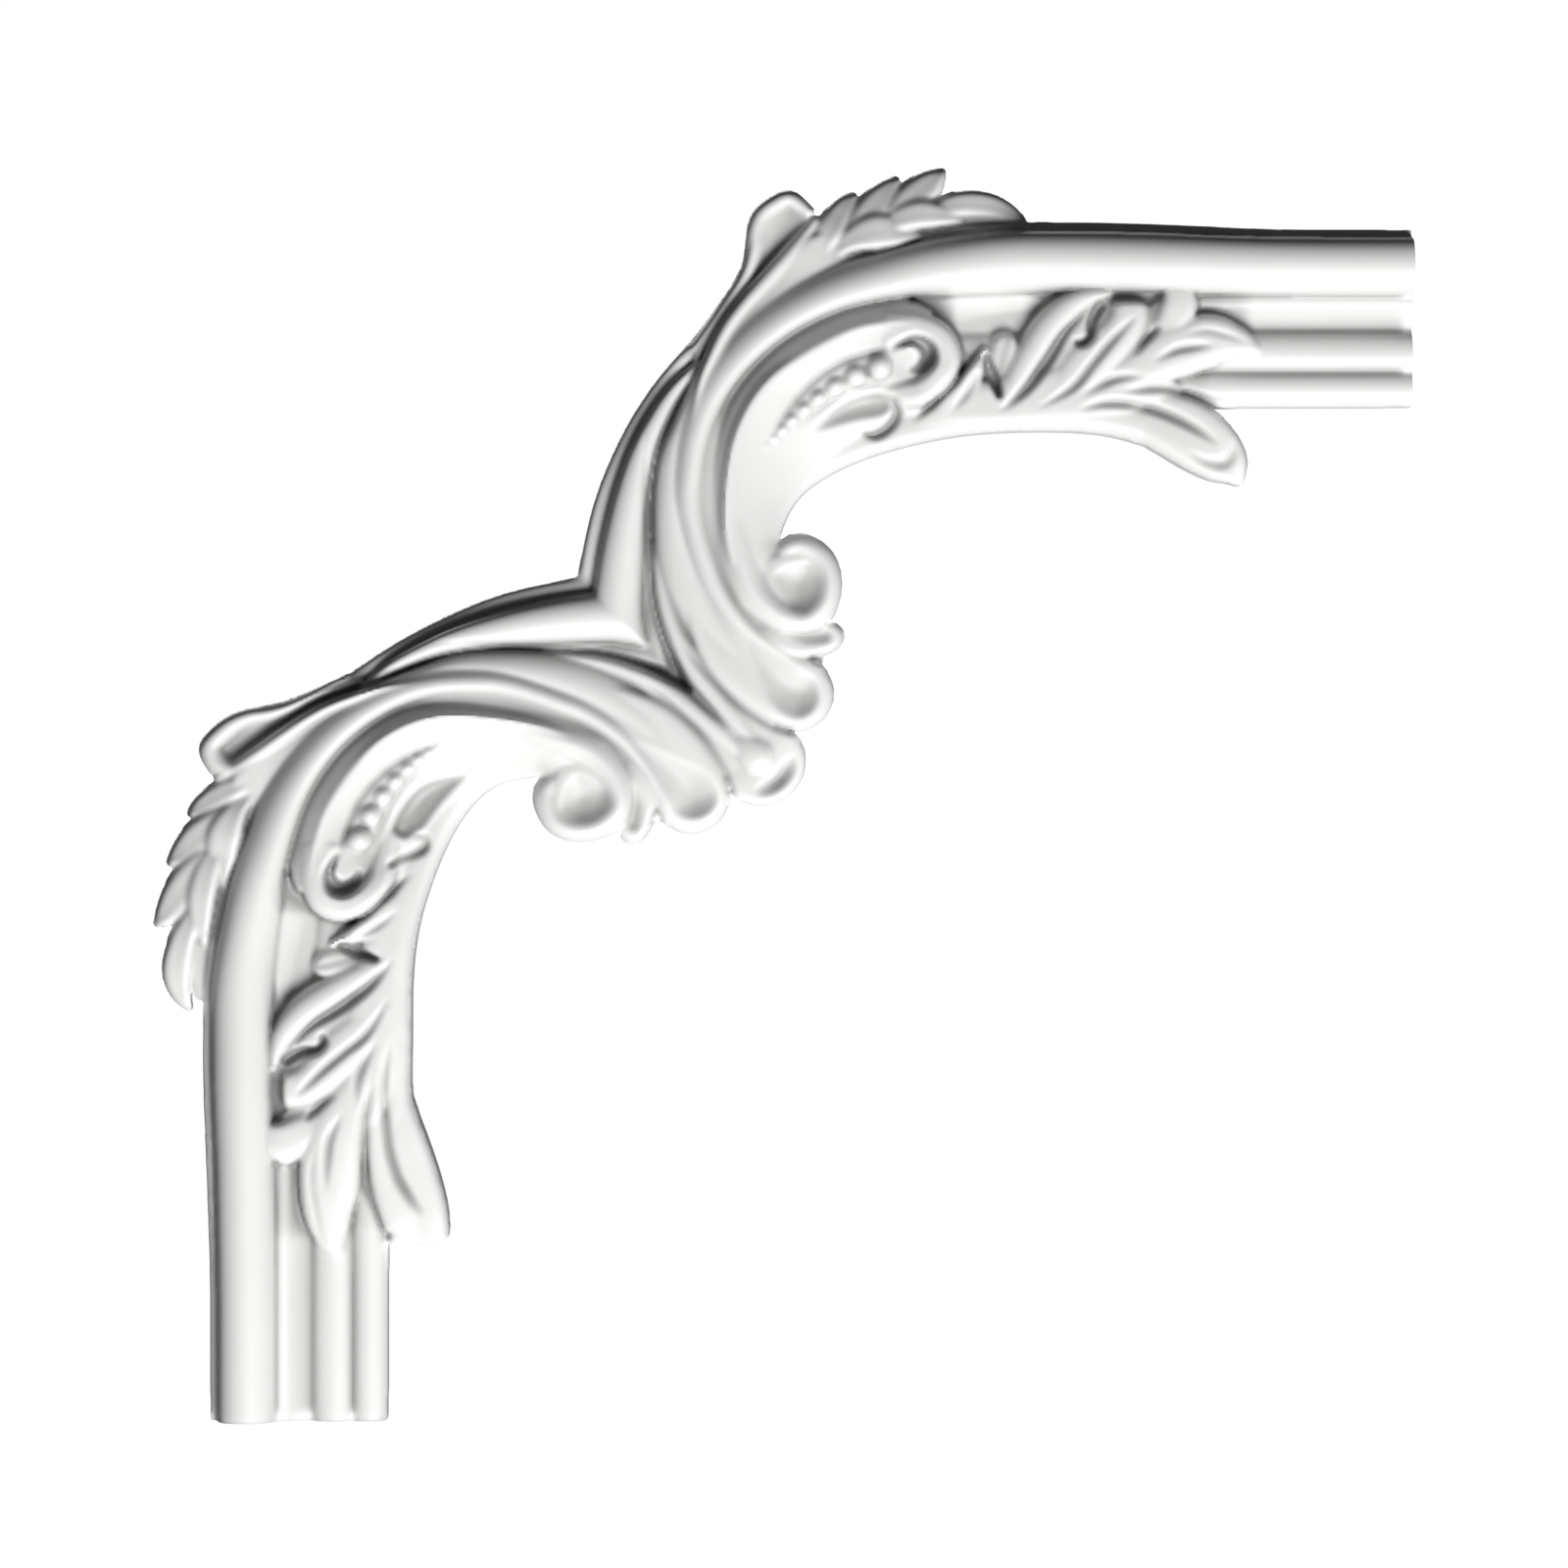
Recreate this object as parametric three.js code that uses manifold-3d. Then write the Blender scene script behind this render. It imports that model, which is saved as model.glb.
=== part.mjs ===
// Rococo corner for a wall panel moulding, cast in one piece of rigid foam.
// Two mitred arms carry the panel profile. Between them run a C scroll, a fluted shell and leaves.
// Millimetres, +Z up. The flat back lies on the plane Y = 0 and the relief rises towards -Y.
// The origin is on the back, on the mitre line, where the two inner rolls meet.
import * as THREE from 'three';
import { mergeVertices } from 'three/addons/utils/BufferGeometryUtils.js';
import Module from 'manifold-3d';

const wasm = await Module();
wasm.setup();

// Driving dimensions. "Along" is measured from the mitre down an arm, "out" towards its outer edge.
const UPPER_ARM_END = 166;
const LOWER_ARM_END = 168;
const OUTER_EDGE = 100.4;
const INNER_EDGE = 60.8;
const PROFILE_START = 91;
const RUN_OUT = UPPER_ARM_END + 6;
const RELIEF_LIMIT = 40;
const SINK = 3;
const SEAM_OVERLAP = 0.2;
const GROUND_INSET = 0.4;
const WELD_DISTANCE = 1e-4;
const KEPT_SPAN = 600;
const KEPT_DEPTH = 200;
const OUTER_REACH = 200;
const THINNEST = 0.25;
const STEPS_PER_SPAN = 1.35;
const END_CROWDING = 1.8;
const LEAF_STEPS = 5;
const LEAF_STATIONS = [0, 0.3, 0.55, 0.75, 0.9, 1];
const LEAF_ROOT_WIDTH = 0.42;
const MIDRIB_WIDTH = 0.3;
const DISH_POWER = 1.2;

// Heights above the wall.
const GROUND = 5.8;
const LIP = 6.6;
const ROLL = 16.6;
const FILLET = 9.6;
const COVE = 8.2;
const BEADS = [
  { out: 72.8, half: 4.7, crest: 10.4, drop: 4 },
  { out: 64.8, half: 4.1, crest: 10, drop: 3.6 },
];
const NOTCH_ROLL = 13;
const SCROLL = 17.8;
const SHELL = 13.4;

// Pearls shrink and close up as they run down the scroll's channel.
const PEARL_COUNT = 4;
const PEARL_LARGEST = 2.6;
const PEARL_SHRINK = 0.83;
const PEARL_PACE = 0.81;
const PEARL_SEAT = 14.6;

// The lower arm was carved by eye: its leaves sit nearer the corner, its profile further out and
// its laurel spray is drawn out longer. Each change sets in, and fades away, over these stretches.
const LOWER_SLIDE = { by: 9, alongFrom: [-15, 40], outFrom: [25, 60], alongTo: [112, 132] };
const LOWER_SPRAY = { by: 5.4, alongFrom: [42, 66], outFrom: [94, 103], alongTo: [95, 125] };
const LOWER_LIFT = { by: 4.4, alongFrom: [20, 80] };

const smooth = (value, low, high) => THREE.MathUtils.smoothstep(value, low, high);

function upperPlace(along, out, height) {
  return [along, -height, out];
}

function eased({ by, alongFrom, outFrom, alongTo }, along, out) {
  return by * smooth(along, ...alongFrom) * smooth(out, ...outFrom) * (1 - smooth(along, ...alongTo));
}

function lowerPlace(along, out, height) {
  const slid = along - eased(LOWER_SLIDE, along, out) + eased(LOWER_SPRAY, along, out);
  const lifted = out + LOWER_LIFT.by * smooth(along, ...LOWER_LIFT.alongFrom);
  return [-lifted, -height, -slid];
}

// One carved member: a box bent along a path, with its own width, crest height and section.
// Section: drop is the fall from crest to edge, square how flat the top is, dish the hollow along
// the middle, lean the rise from right to left, groove a midrib line, round the length of a round end.
const PLAIN = { drop: 3, square: 2, dish: 0, lean: 0, groove: 0, round: 0, steps: 0, across: 4 };

function sectionHeight(member, crest, side, endward) {
  const spread = Math.sqrt(endward ** 2 + side ** 2 * (1 - endward ** 2));
  const shoulder = Math.sqrt(Math.max(0, 1 - spread ** member.square));
  const hollow = member.dish * Math.max(0, 1 - spread ** 2) ** DISH_POWER;
  const midrib = member.groove * Math.max(0, 1 - (side / MIDRIB_WIDTH) ** 2);
  return crest - member.drop * (1 - shoulder) - hollow - midrib + member.lean * side;
}

function carve(shape, lowerHalf, hollowing) {
  const member = { ...PLAIN, ...shape };
  const points = member.path;
  const place = lowerHalf ? lowerPlace : upperPlace;
  const route = new THREE.CatmullRomCurve3(points.map(([a, o]) => new THREE.Vector3(a, o, 0)),
    false, 'catmullrom', 0.5);
  const sizes = new THREE.CatmullRomCurve3(points.map(([, , w, h]) => new THREE.Vector3(w, h, 0)),
    false, 'catmullrom', 0.5);
  const steps = member.steps || Math.ceil((points.length - 1) * STEPS_PER_SPAN);
  const geometry = new THREE.BoxGeometry(1, 1, 1, steps, member.across, 1);
  const position = geometry.attributes.position;
  const end = route.getPoint(1);
  for (let i = 0; i < position.count; i += 1) {
    const station = member.round ? 1 - (0.5 - position.getX(i)) ** END_CROWDING : position.getX(i) + 0.5;
    const side = Math.sin(Math.PI * position.getY(i));
    const centre = route.getPoint(station);
    const heading = route.getTangent(station);
    const size = sizes.getPoint(station);
    const endward = member.round ? Math.max(0, 1 - centre.distanceTo(end) / member.round) : 0;
    const half = Math.max(THINNEST, size.x * Math.sqrt(1 - endward ** 2));
    const along = centre.x - heading.y * half * side;
    const out = centre.y + heading.x * half * side;
    const surface = sectionHeight(member, size.y, side, endward);
    const onTop = position.getZ(i) > 0;
    const height = hollowing ? (onTop ? RELIEF_LIMIT : surface) : (onTop ? surface : -SINK);
    position.setXYZ(i, ...place(along, out, height));
  }
  return toSolid(geometry, lowerHalf);
}

function toSolid(geometry, mirrored) {
  geometry.deleteAttribute('normal');
  geometry.deleteAttribute('uv');
  const merged = mergeVertices(geometry, WELD_DISTANCE);
  const triVerts = Uint32Array.from(merged.index.array);
  if (mirrored) {
    for (let i = 0; i < triVerts.length; i += 3) {
      [triVerts[i], triVerts[i + 1]] = [triVerts[i + 1], triVerts[i]];
    }
  }
  const vertProperties = Float32Array.from(merged.attributes.position.array);
  return new wasm.Manifold(new wasm.Mesh({ numProp: 3, vertProperties, triVerts }));
}

// A leaf springs from its root, bows to the left by "bow", swells past its middle and ends in a tip.
function leaf(root, tip, bow, half, crests, section) {
  const belly = section.belly ?? 1.3;
  const length = Math.hypot(tip[0] - root[0], tip[1] - root[1]);
  const left = [-(tip[1] - root[1]) / length, (tip[0] - root[0]) / length];
  const path = LEAF_STATIONS.map((s) => {
    const swell = Math.sin(Math.PI * s ** belly) + LEAF_ROOT_WIDTH * (1 - s);
    const sway = bow * 4 * s * (1 - s);
    return [
      root[0] + (tip[0] - root[0]) * s + left[0] * sway,
      root[1] + (tip[1] - root[1]) * s + left[1] * sway,
      half * swell,
      crests[0] + (crests[1] - crests[0]) * Math.sin(Math.PI / 2 * s),
    ];
  });
  return { path, steps: LEAF_STEPS, ...section };
}

// A volute rim turns from one angle to another about its centre while radius and width taper.
function volute(centre, radii, angles, halves, crests, count) {
  return Array.from({ length: count }, (_, i) => {
    const s = i / (count - 1);
    const angle = THREE.MathUtils.degToRad(THREE.MathUtils.lerp(angles[0], angles[1], s));
    const radius = THREE.MathUtils.lerp(radii[0], radii[1], s ** 2);
    return [
      centre[0] + radius * Math.cos(angle),
      centre[1] + radius * Math.sin(angle),
      THREE.MathUtils.lerp(halves[0], halves[1], s),
      THREE.MathUtils.lerp(crests[0], crests[1], s),
    ];
  });
}

// Plain ground that the carving stands on: arm, scroll, ear and laurel, notch, shell.
function ground() {
  const flat = { drop: 0.6, square: 16, across: 2 };
  const middle = (OUTER_EDGE + INNER_EDGE) / 2;
  const half = (OUTER_EDGE - INNER_EDGE) / 2 - GROUND_INSET;
  const paths = [
    [[RUN_OUT, middle, half], [60, middle, half]],
    [[92, 72, 14], [64, 71, 15], [42, 69, 17.5], [21, 57, 17.5], [9.5, 38, 15.5], [12, 15, 15],
      [17, -6, 13]],
    [[1, 63, 6], [22, 86, 8], [42, 97, 8], [66, 101, 4.4]],
    [[3, 66, 5], [-6, 46, 9], [-9, 26, 11.5], [-6, 8, 12], [2, -4, 12]],
    [[24, 24, 9], [26, 8, 8], [22, -4, 8], [16, -16, 7]],
  ];
  return paths.map((path) => ({ path: path.map((point) => [...point, GROUND]), ...flat }));
}

// Panel profile on the straight arm, from the outer lip to the inner bead.
function armProfile() {
  return [
    { path: [[RUN_OUT, 99.5, 1.1, LIP], [130, 99.8, 1.1, LIP], [91, 101.2, 1.2, LIP], [56, 98.6, 1.3, 8.8]],
      drop: 1.2, square: 4, across: 2 },
    { path: [[RUN_OUT, 84.2, 1.9, FILLET], [91, 84.6, 1.9, FILLET], [64, 85.4, 1.6, 8.4]],
      drop: 1.6, across: 2, steps: 2 },
    { path: [[RUN_OUT, 80.2, 3.4, COVE], [91, 80.4, 3.4, COVE], [73, 81.6, 5, 9], [54, 79.4, 6.2, 9.2]],
      drop: 0.3, square: 40, dish: 0.7, lean: -1.2, steps: 3 },
    ...BEADS.map(({ out, half, crest, drop }) => ({
      path: [[RUN_OUT, out, half, crest], [PROFILE_START, out, half, crest]], drop, across: 6,
    })),
  ];
}

// The big roll of the profile bends round the scroll, thins to a rib and ends along a shell lobe.
// A second rib parts it from the cupped ear on the outline, which is broader on the lower arm.
function rollAndRibs() {
  const cup = { drop: 3.2, square: 5, dish: 2.7, round: 9, steps: 8 };
  return [
    { path: [[RUN_OUT, 92.3, 6.7, ROLL], [132, 92.4, 6.7, ROLL], [91, 93.4, 7, ROLL], [62, 92.2, 6.7, ROLL],
      [40, 88.4, 5.5, 15.6], [23, 80.4, 4.7, 14.8], [11.6, 69.8, 4.4, 14.5], [5, 57, 3.8, 14.5],
      [3, 42, 2.8, 14.4], [6, 27.1, 2.4, 14.1], [11.8, 15.3, 2.1, 13.7], [19.4, 7.5, 1.6, 13.2],
      [32.4, 1.9, 0.6, 11.6]], drop: 8, across: 6, steps: 16 },
    { path: [[30.6, 101.2, 1, 8.6], [24.4, 93.4, 1.9, 11.5], [15.6, 83.6, 2, 13.1], [8.7, 72.6, 1.9, 14.1],
      [5.2, 63, 1.5, 14.2]], drop: 4 },
    { path: [[4.8, 72.8, 2, 9.7], [11, 80.4, 3.6, 10.2], [17, 89.4, 5.3, 10.4], [21.4, 98.6, 7.4, 9.9],
      [25, 110.2, 7.8, 8.6]], ...cup, only: 'upper' },
    { path: [[4.6, 74, 2, 9.7], [9.4, 81, 3.2, 10], [14.4, 89, 5.4, 10.2], [19.8, 97.6, 8.4, 9.9],
      [25.6, 107.6, 9.2, 8.6]], ...cup, only: 'lower' },
  ];
}

// Lip and roll come out again beyond the rib and meet their mirror image at the notch.
// A low tongue, a broad ridge and a thin stem fill the space between them and the shell.
function notchMoulding() {
  return [
    { path: [[7, 77, 1.4, 7.6], [-5, 63, 2, 7], [-14, 46, 2.1, 6.6], [-18.8, 29, 2.2, 6.4],
      [-21.5, 12, 2.2, 6.4]], drop: 2.2, square: 3 },
    { path: [[3.6, 70.7, 1.2, 9.8], [-4.6, 57.6, 2.3, 11.6], [-9.3, 44, 3.6, 12.7],
      [-11.8, 30, 4.9, NOTCH_ROLL], [-13.1, 15, 5.9, NOTCH_ROLL], [-12, 2, 6.3, NOTCH_ROLL]], drop: 6 },
    { path: [[-8, 14, 3.6, 8.4], [-5.2, 8, 3.2, 7.4], [-1, 1, 1, 6.4]], drop: 1.4 },
    { path: [[5, 66, 1.7, 12.3], [-0.3, 51, 3.8, 12.4], [-0.9, 35, 5, 12.7], [3, 20, 6, 12.9],
      [12, 6, 6, 12.8], [24, -3, 2.6, 12]], drop: 5.4, lean: 0.6, dish: 0.3 },
    { path: [[-4.6, 24, 1.4, 9.6], [-0.4, 9.6, 2.6, 11.2], [7, -3, 3.4, 12.2], [17, -14, 3, 12.4]],
      drop: 2.4 },
  ];
}

// C scroll: a rounded rim with a volute at each end and a broad face sloping to the inner edge.
function scroll() {
  return [
    { path: [[55.4, 78.6, 6.1, SCROLL], [40, 77.2, 6.7, SCROLL], [28, 70.4, 7, 17.4], [19.5, 59.8, 7, 17],
      [15, 47, 6.5, 16.7], [13.8, 33.6, 5.8, 16.3], [17.4, 19, 4.9, 15.8], [28.2, 12.4, 3.4, 15.3]],
      drop: 8, across: 6 },
    { path: volute([54.8, 70.6], [8.2, 6.6], [118, -170], [6, 2], [SCROLL, 14.4], 8), drop: 7, steps: 9 },
    { path: volute([28, 20.6], [8.2, 7.2], [-92, 150], [3.4, 1.4], [15.3, 13.6], 7), drop: 5, steps: 8 },
    { path: [[51.4, 71.8, 1.9, 16], [54, 71.8, 1.9, 15.8]], drop: 3, steps: 3 },
    { path: [[58, 66, 9, 14], [46, 64.2, 14.6, 13.2], [33, 59, 15.8, 13], [23, 48.5, 12.4, 13.2],
      [18, 33, 6.2, 14.2], [19, 23, 4, 14.2]], drop: 3.5, square: 12, lean: -4.3 },
    { path: [[18.5, 21.5, 5, 13.4], [27, 20.6, 6.2, 13.4], [36, 20.4, 6, 13.4]],
      drop: 1, square: 8, dish: 3, round: 7, steps: 5 },
    { path: [[21, 40, 3, 9.5], [33.4, 50, 4.6, 9.8], [53, 56.4, 4.4, 11.2], [75, 59, 4, 12.6],
      [90, 59.4, 3.4, 12.6], [101, 58.6, 2, 12]], drop: 3.5, square: 3 },
  ];
}

function pearls() {
  const channel = new THREE.QuadraticBezierCurve3(new THREE.Vector3(45.8, 69.4, 0),
    new THREE.Vector3(33, 66, 0), new THREE.Vector3(20.7, 51.5, 0));
  return Array.from({ length: PEARL_COUNT }, (_, i) => {
    const spot = channel.getPoint(1 - PEARL_PACE ** i);
    const radius = PEARL_LARGEST * PEARL_SHRINK ** i;
    const top = PEARL_SEAT + radius;
    return { path: [[spot.x - radius, spot.y, radius, top], [spot.x + radius, spot.y, radius, top]],
      drop: radius, round: radius, steps: 2 };
  });
}

// Shell: three lobes to each half, the middle one shared and lying on the mitre.
function shell() {
  return [
    { path: [[17.3, 13.8, 2, 13.2], [23, 9.2, 2.7, 13.6], [29.6, 7.3, 3.2, 13.6], [38, 10, 3.3, 12.6]],
      drop: 3.5, square: 5, dish: 1.8, round: 4.2 },
    { path: [[12, 66, 2.2, 13], [6.4, 50, 3, 13.2], [7, 34, 3.2, 13.2], [12.6, 17.5, 3.3, 13],
      [24, 8, 1.4, 12.2]], drop: 3.5, square: 4 },
    { path: [[2.4, 26, 1, 12], [8, 11.6, 5.2, 13], [18.6, 0.4, 7.9, SHELL], [35.6, -5.8, 8.4, 11.8]],
      drop: 3.5, square: 6, dish: 2.4, round: 8.6, steps: 9 },
    { path: [[4, -4, 2, 8], [9.6, -9.6, 3.8, 10], [18, -18, 9.2, 12.8], [26.6, -26.6, 9.8, 11.8]],
      drop: 3.5, square: 6, dish: 2.6, round: 9.2, steps: 8 },
    { path: [[11, -11, 2.6, 11], [17, -17, 4.4, 13.2], [22.4, -22.4, 4, 13.2]],
      drop: 2.8, round: 5, steps: 5 },
  ];
}

// Acanthus leaves sweep out of the stem over the arm. The last one hangs below the inner edge.
// The two end leaves were set a little differently on the lower arm.
function acanthus() {
  const ribbed = { drop: 4.3, square: 2.2, groove: 1.3, belly: 1.8 };
  const cupped = { drop: 3.6, square: 2.4, dish: 1.2, belly: 1.6 };
  const long = { ...ribbed, steps: 7 };
  const hanging = { ...ribbed, belly: 2.4, steps: 8 };
  return [
    leaf([56.5, 57.5], [69.8, 74], -0.7, 2.4, [13, 13.8], { drop: 4 }),
    leaf([65.5, 57], [75, 78.4], -1.4, 3.6, [12.6, 12.4], cupped),
    leaf([71, 57.5], [98.8, 86.2], 2.6, 4.5, [13.4, 14.6], ribbed),
    leaf([79, 58], [104.6, 86], -1.6, 5.4, [13.4, 14.4], ribbed),
    leaf([105.5, 74], [113.6, 89.4], 0, 4, [12, 13.8], cupped),
    { ...leaf([86.5, 60.4], [133, 73.8], 4.2, 6, [13.2, 13.6], long), only: 'upper' },
    { ...leaf([86.5, 60.4], [131.4, 71.2], 4.6, 6.4, [13.2, 13.6], long), only: 'lower' },
    { ...leaf([86.5, 58], [127.8, 42.6], 8.6, 6.8, [13, 12.4], hanging), only: 'upper' },
    { ...leaf([86.5, 58.6], [129, 49.5], 6.4, 7.6, [13, 12.4], hanging), only: 'lower' },
  ];
}

// Laurel spray on the outer edge: an outer row leaning out and an inner row lying along the roll.
function laurel() {
  const cupped = { drop: 2.2, square: 3, dish: 1.1, across: 2 };
  const outerRoots = [[33, 95.6], [39.6, 99], [47.6, 102.4]];
  const outerTips = [[40.6, 109.6], [50.4, 113.3], [60.8, 114.9]];
  return [
    ...outerRoots.map((root, i) => leaf(root, outerTips[i], 1.6, 3.9, [8.6, 9.6], cupped)),
    { ...leaf([57.5, 101.6], [79.3, 102.3], 3.4, 3.4, [8.4, 8.4], cupped), only: 'upper' },
    { ...leaf([57.5, 102], [79.7, 105.2], 3.6, 3.8, [8.4, 8.4], cupped), only: 'lower' },
    leaf([35, 95.6], [56, 99.4], 2.6, 3.4, [10.4, 12], cupped),
    leaf([45, 99.4], [65, 102.6], 2.4, 3.2, [10, 11], cupped),
  ];
}

// Hollows cut into the carving: the volute's eye, the hooked leaf and the slits between leaves.
function hollows() {
  const cut = { drop: -3.6, across: 2 };
  return [
    { path: [[49.6, 73.6, 1.2, 14], [54, 74.4, 1.7, 13], [57, 71.4, 2, 12.2], [54.8, 68.8, 1.2, 13.4]],
      ...cut },
    { path: [[28.4, 52.2, 0.5, 12.2], [40, 59, 2, 10.4], [50, 62.4, 1.3, 11]], ...cut },
    { path: [[54, 57.4, 0.7, 12.2], [63, 66.4, 1.1, 10.4], [66.8, 72.2, 1.7, 9.2]], ...cut },
    { path: [[73, 63, 0.7, 9.2], [74, 67, 1.2, 8.4], [76.6, 72.4, 1.6, 7.6]], ...cut },
  ];
}

function block(width, depth, height, centre, turn) {
  const geometry = new THREE.BoxGeometry(width, depth, height);
  geometry.rotateY(turn);
  geometry.translate(...centre);
  return toSolid(geometry, false);
}

// Each half is joined from its members, hollowed, and cut off at the mitre plane X + Z = 0.
function half(lowerHalf) {
  const side = lowerHalf ? 'lower' : 'upper';
  const groups = [ground, armProfile, rollAndRibs, notchMoulding, scroll, pearls, shell, acanthus, laurel];
  const members = groups.flatMap((group) => group()).filter(({ only = side }) => only === side);
  const raised = members.map((member) => carve(member, lowerHalf, false));
  const hollowed = hollows().map((member) => carve(member, lowerHalf, true));
  const body = hollowed.reduce((solid, tool) => solid.subtract(tool), raised.reduce((a, b) => a.add(b)));
  const offset = (KEPT_SPAN / 2 - SEAM_OVERLAP) * Math.SQRT1_2 * (lowerHalf ? -1 : 1);
  return body.intersect(block(KEPT_SPAN, KEPT_DEPTH, KEPT_SPAN, [offset, 0, offset], Math.PI / 4));
}

// The joined casting is cut square at both arm ends and flat on the wall plane.
function casting() {
  const wide = UPPER_ARM_END + OUTER_REACH;
  const tall = LOWER_ARM_END + OUTER_REACH;
  const envelope = block(wide, RELIEF_LIMIT, tall,
    [UPPER_ARM_END - wide / 2, -RELIEF_LIMIT / 2, tall / 2 - LOWER_ARM_END], 0);
  const { vertProperties, triVerts } = half(false).add(half(true)).intersect(envelope).getMesh();
  const geometry = new THREE.BufferGeometry();
  geometry.setAttribute('position', new THREE.BufferAttribute(vertProperties, 3));
  geometry.setIndex(new THREE.BufferAttribute(triVerts, 1));
  geometry.computeVertexNormals();
  return geometry;
}

const primer = new THREE.MeshStandardMaterial({ color: 0xf3f2ee, roughness: 0.5, metalness: 0 });
const corner = new THREE.Mesh(casting(), primer);
corner.name = 'moulding_corner';

const part = new THREE.Group();
part.add(corner);

export default part;
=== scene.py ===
# Rococo corner for a wall panel moulding: one casting of rigid foam under white primer.
# A pattern is carved member by member, the casting takes its shape, and two arms are sawn square.
import math

import bpy
import numpy as np
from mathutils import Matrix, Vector


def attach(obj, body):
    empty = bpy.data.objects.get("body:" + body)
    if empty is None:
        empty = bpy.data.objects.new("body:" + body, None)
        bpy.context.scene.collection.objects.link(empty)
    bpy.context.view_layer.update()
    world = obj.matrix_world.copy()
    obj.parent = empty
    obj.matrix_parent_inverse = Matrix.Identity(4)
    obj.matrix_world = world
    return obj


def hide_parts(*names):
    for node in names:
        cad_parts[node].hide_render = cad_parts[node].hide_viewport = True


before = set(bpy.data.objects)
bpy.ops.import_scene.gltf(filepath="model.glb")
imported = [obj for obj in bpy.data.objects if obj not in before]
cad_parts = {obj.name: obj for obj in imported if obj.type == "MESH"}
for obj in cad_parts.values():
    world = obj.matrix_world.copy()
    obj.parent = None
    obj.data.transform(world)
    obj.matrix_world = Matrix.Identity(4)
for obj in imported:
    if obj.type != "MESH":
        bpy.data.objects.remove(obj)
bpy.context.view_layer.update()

# White primer: the factory coat on the whole casting, sprayed thin and left satin.
# It is a little uneven in tone and gloss and shows a fine orange peel. Its colour is darkened towards
# grey in the hollows and creases as painted shade.
PRIMER_COLOUR = (0.87, 0.868, 0.86, 1.0)
PRIMER_SHADE = (0.80, 0.798, 0.79, 1.0)
# Painted shade: the grey that the primer's colour is darkened towards in creases and hollows, in place of
# shade.
PAINTED_SHADE_COLOUR = (0.28, 0.278, 0.274, 1.0)


def new_node(tree, kind, **settings):
    node = tree.nodes.new(kind)
    for name, value in settings.items():
        setattr(node, name, value)
    return node


def white_primer():
    material = bpy.data.materials.new("white_primer")
    material.use_nodes = True
    tree = material.node_tree
    link = tree.links.new
    surface = tree.nodes["Principled BSDF"]
    place = new_node(tree, "ShaderNodeTexCoord")
    mottle = new_node(tree, "ShaderNodeTexNoise")
    mottle.inputs["Scale"].default_value = 38.0
    mottle.inputs["Detail"].default_value = 4.0
    link(place.outputs["Object"], mottle.inputs["Vector"])
    tone = new_node(tree, "ShaderNodeMix", data_type="RGBA")
    tone.inputs["A"].default_value = PRIMER_COLOUR
    tone.inputs["B"].default_value = PRIMER_SHADE
    link(mottle.outputs["Fac"], tone.inputs["Factor"])
    # The painted shade mask is stored on the skin and mixes the primer's colour towards the painted shade
    # grey.
    painted_shade = new_node(tree, "ShaderNodeAttribute", attribute_name="painted_shade")
    painted_shade_mix = new_node(tree, "ShaderNodeMix", data_type="RGBA")
    painted_shade_mix.inputs["B"].default_value = PAINTED_SHADE_COLOUR
    link(painted_shade.outputs["Fac"], painted_shade_mix.inputs["Factor"])
    link(tone.outputs["Result"], painted_shade_mix.inputs["A"])
    link(painted_shade_mix.outputs["Result"], surface.inputs["Base Color"])
    gloss = new_node(tree, "ShaderNodeMapRange")
    gloss.inputs["To Min"].default_value = 0.42
    gloss.inputs["To Max"].default_value = 0.58
    link(mottle.outputs["Fac"], gloss.inputs["Value"])
    link(gloss.outputs["Result"], surface.inputs["Roughness"])
    peel = new_node(tree, "ShaderNodeTexNoise")
    peel.inputs["Scale"].default_value = 900.0
    peel.inputs["Detail"].default_value = 2.0
    link(place.outputs["Object"], peel.inputs["Vector"])
    bump = new_node(tree, "ShaderNodeBump")
    bump.inputs["Strength"].default_value = 0.12
    bump.inputs["Distance"].default_value = 0.0001
    link(peel.outputs["Fac"], bump.inputs["Height"])
    link(bump.outputs["Normal"], surface.inputs["Normal"])
    return material


primer = white_primer()

# The pattern: the modeller lays every carved member on a board as a strip that follows a drawn line.
# A strip has a width, a crest height and a section that change along it. All sizes are millimetres:
# along an arm from the mitre, out towards its outer edge, half width, crest height above the wall.
STEP_ALONG = 0.35
STEPS_ACROSS = 33
THINNEST = 0.02
NO_ROUND_END = 1e-4

# Section: drop is the fall from crest to edge, square how flat the top is, dish the hollow along the
# middle, lean the rise from right to left, groove a line cut along it, round_start and round_end the
# lengths of its round ends. A fifth number at a point sets the lean from there on.
PLAIN = {"drop": 3.0, "square": 2.0, "dish": 0.0, "dish_power": 1.2, "lean": 0.0, "groove": 0.0,
         "groove_width": 0.3, "groove_at": 0.0, "round_end": 0.0, "round_start": 0.0}

# The lower arm was carved by eye: its leaves sit nearer the corner, its profile further out and its
# laurel spray is drawn out longer. Each change sets in, and fades away, over these stretches.
LOWER_SLIDE = {"by": 9.0, "along_from": (-15, 40), "out_from": (25, 60), "along_to": (112, 132)}
LOWER_SPRAY = {"by": 5.4, "along_from": (42, 66), "out_from": (94, 103), "along_to": (95, 125)}
LOWER_LIFT = {"by": 4.4, "along_from": (20, 80)}


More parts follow.
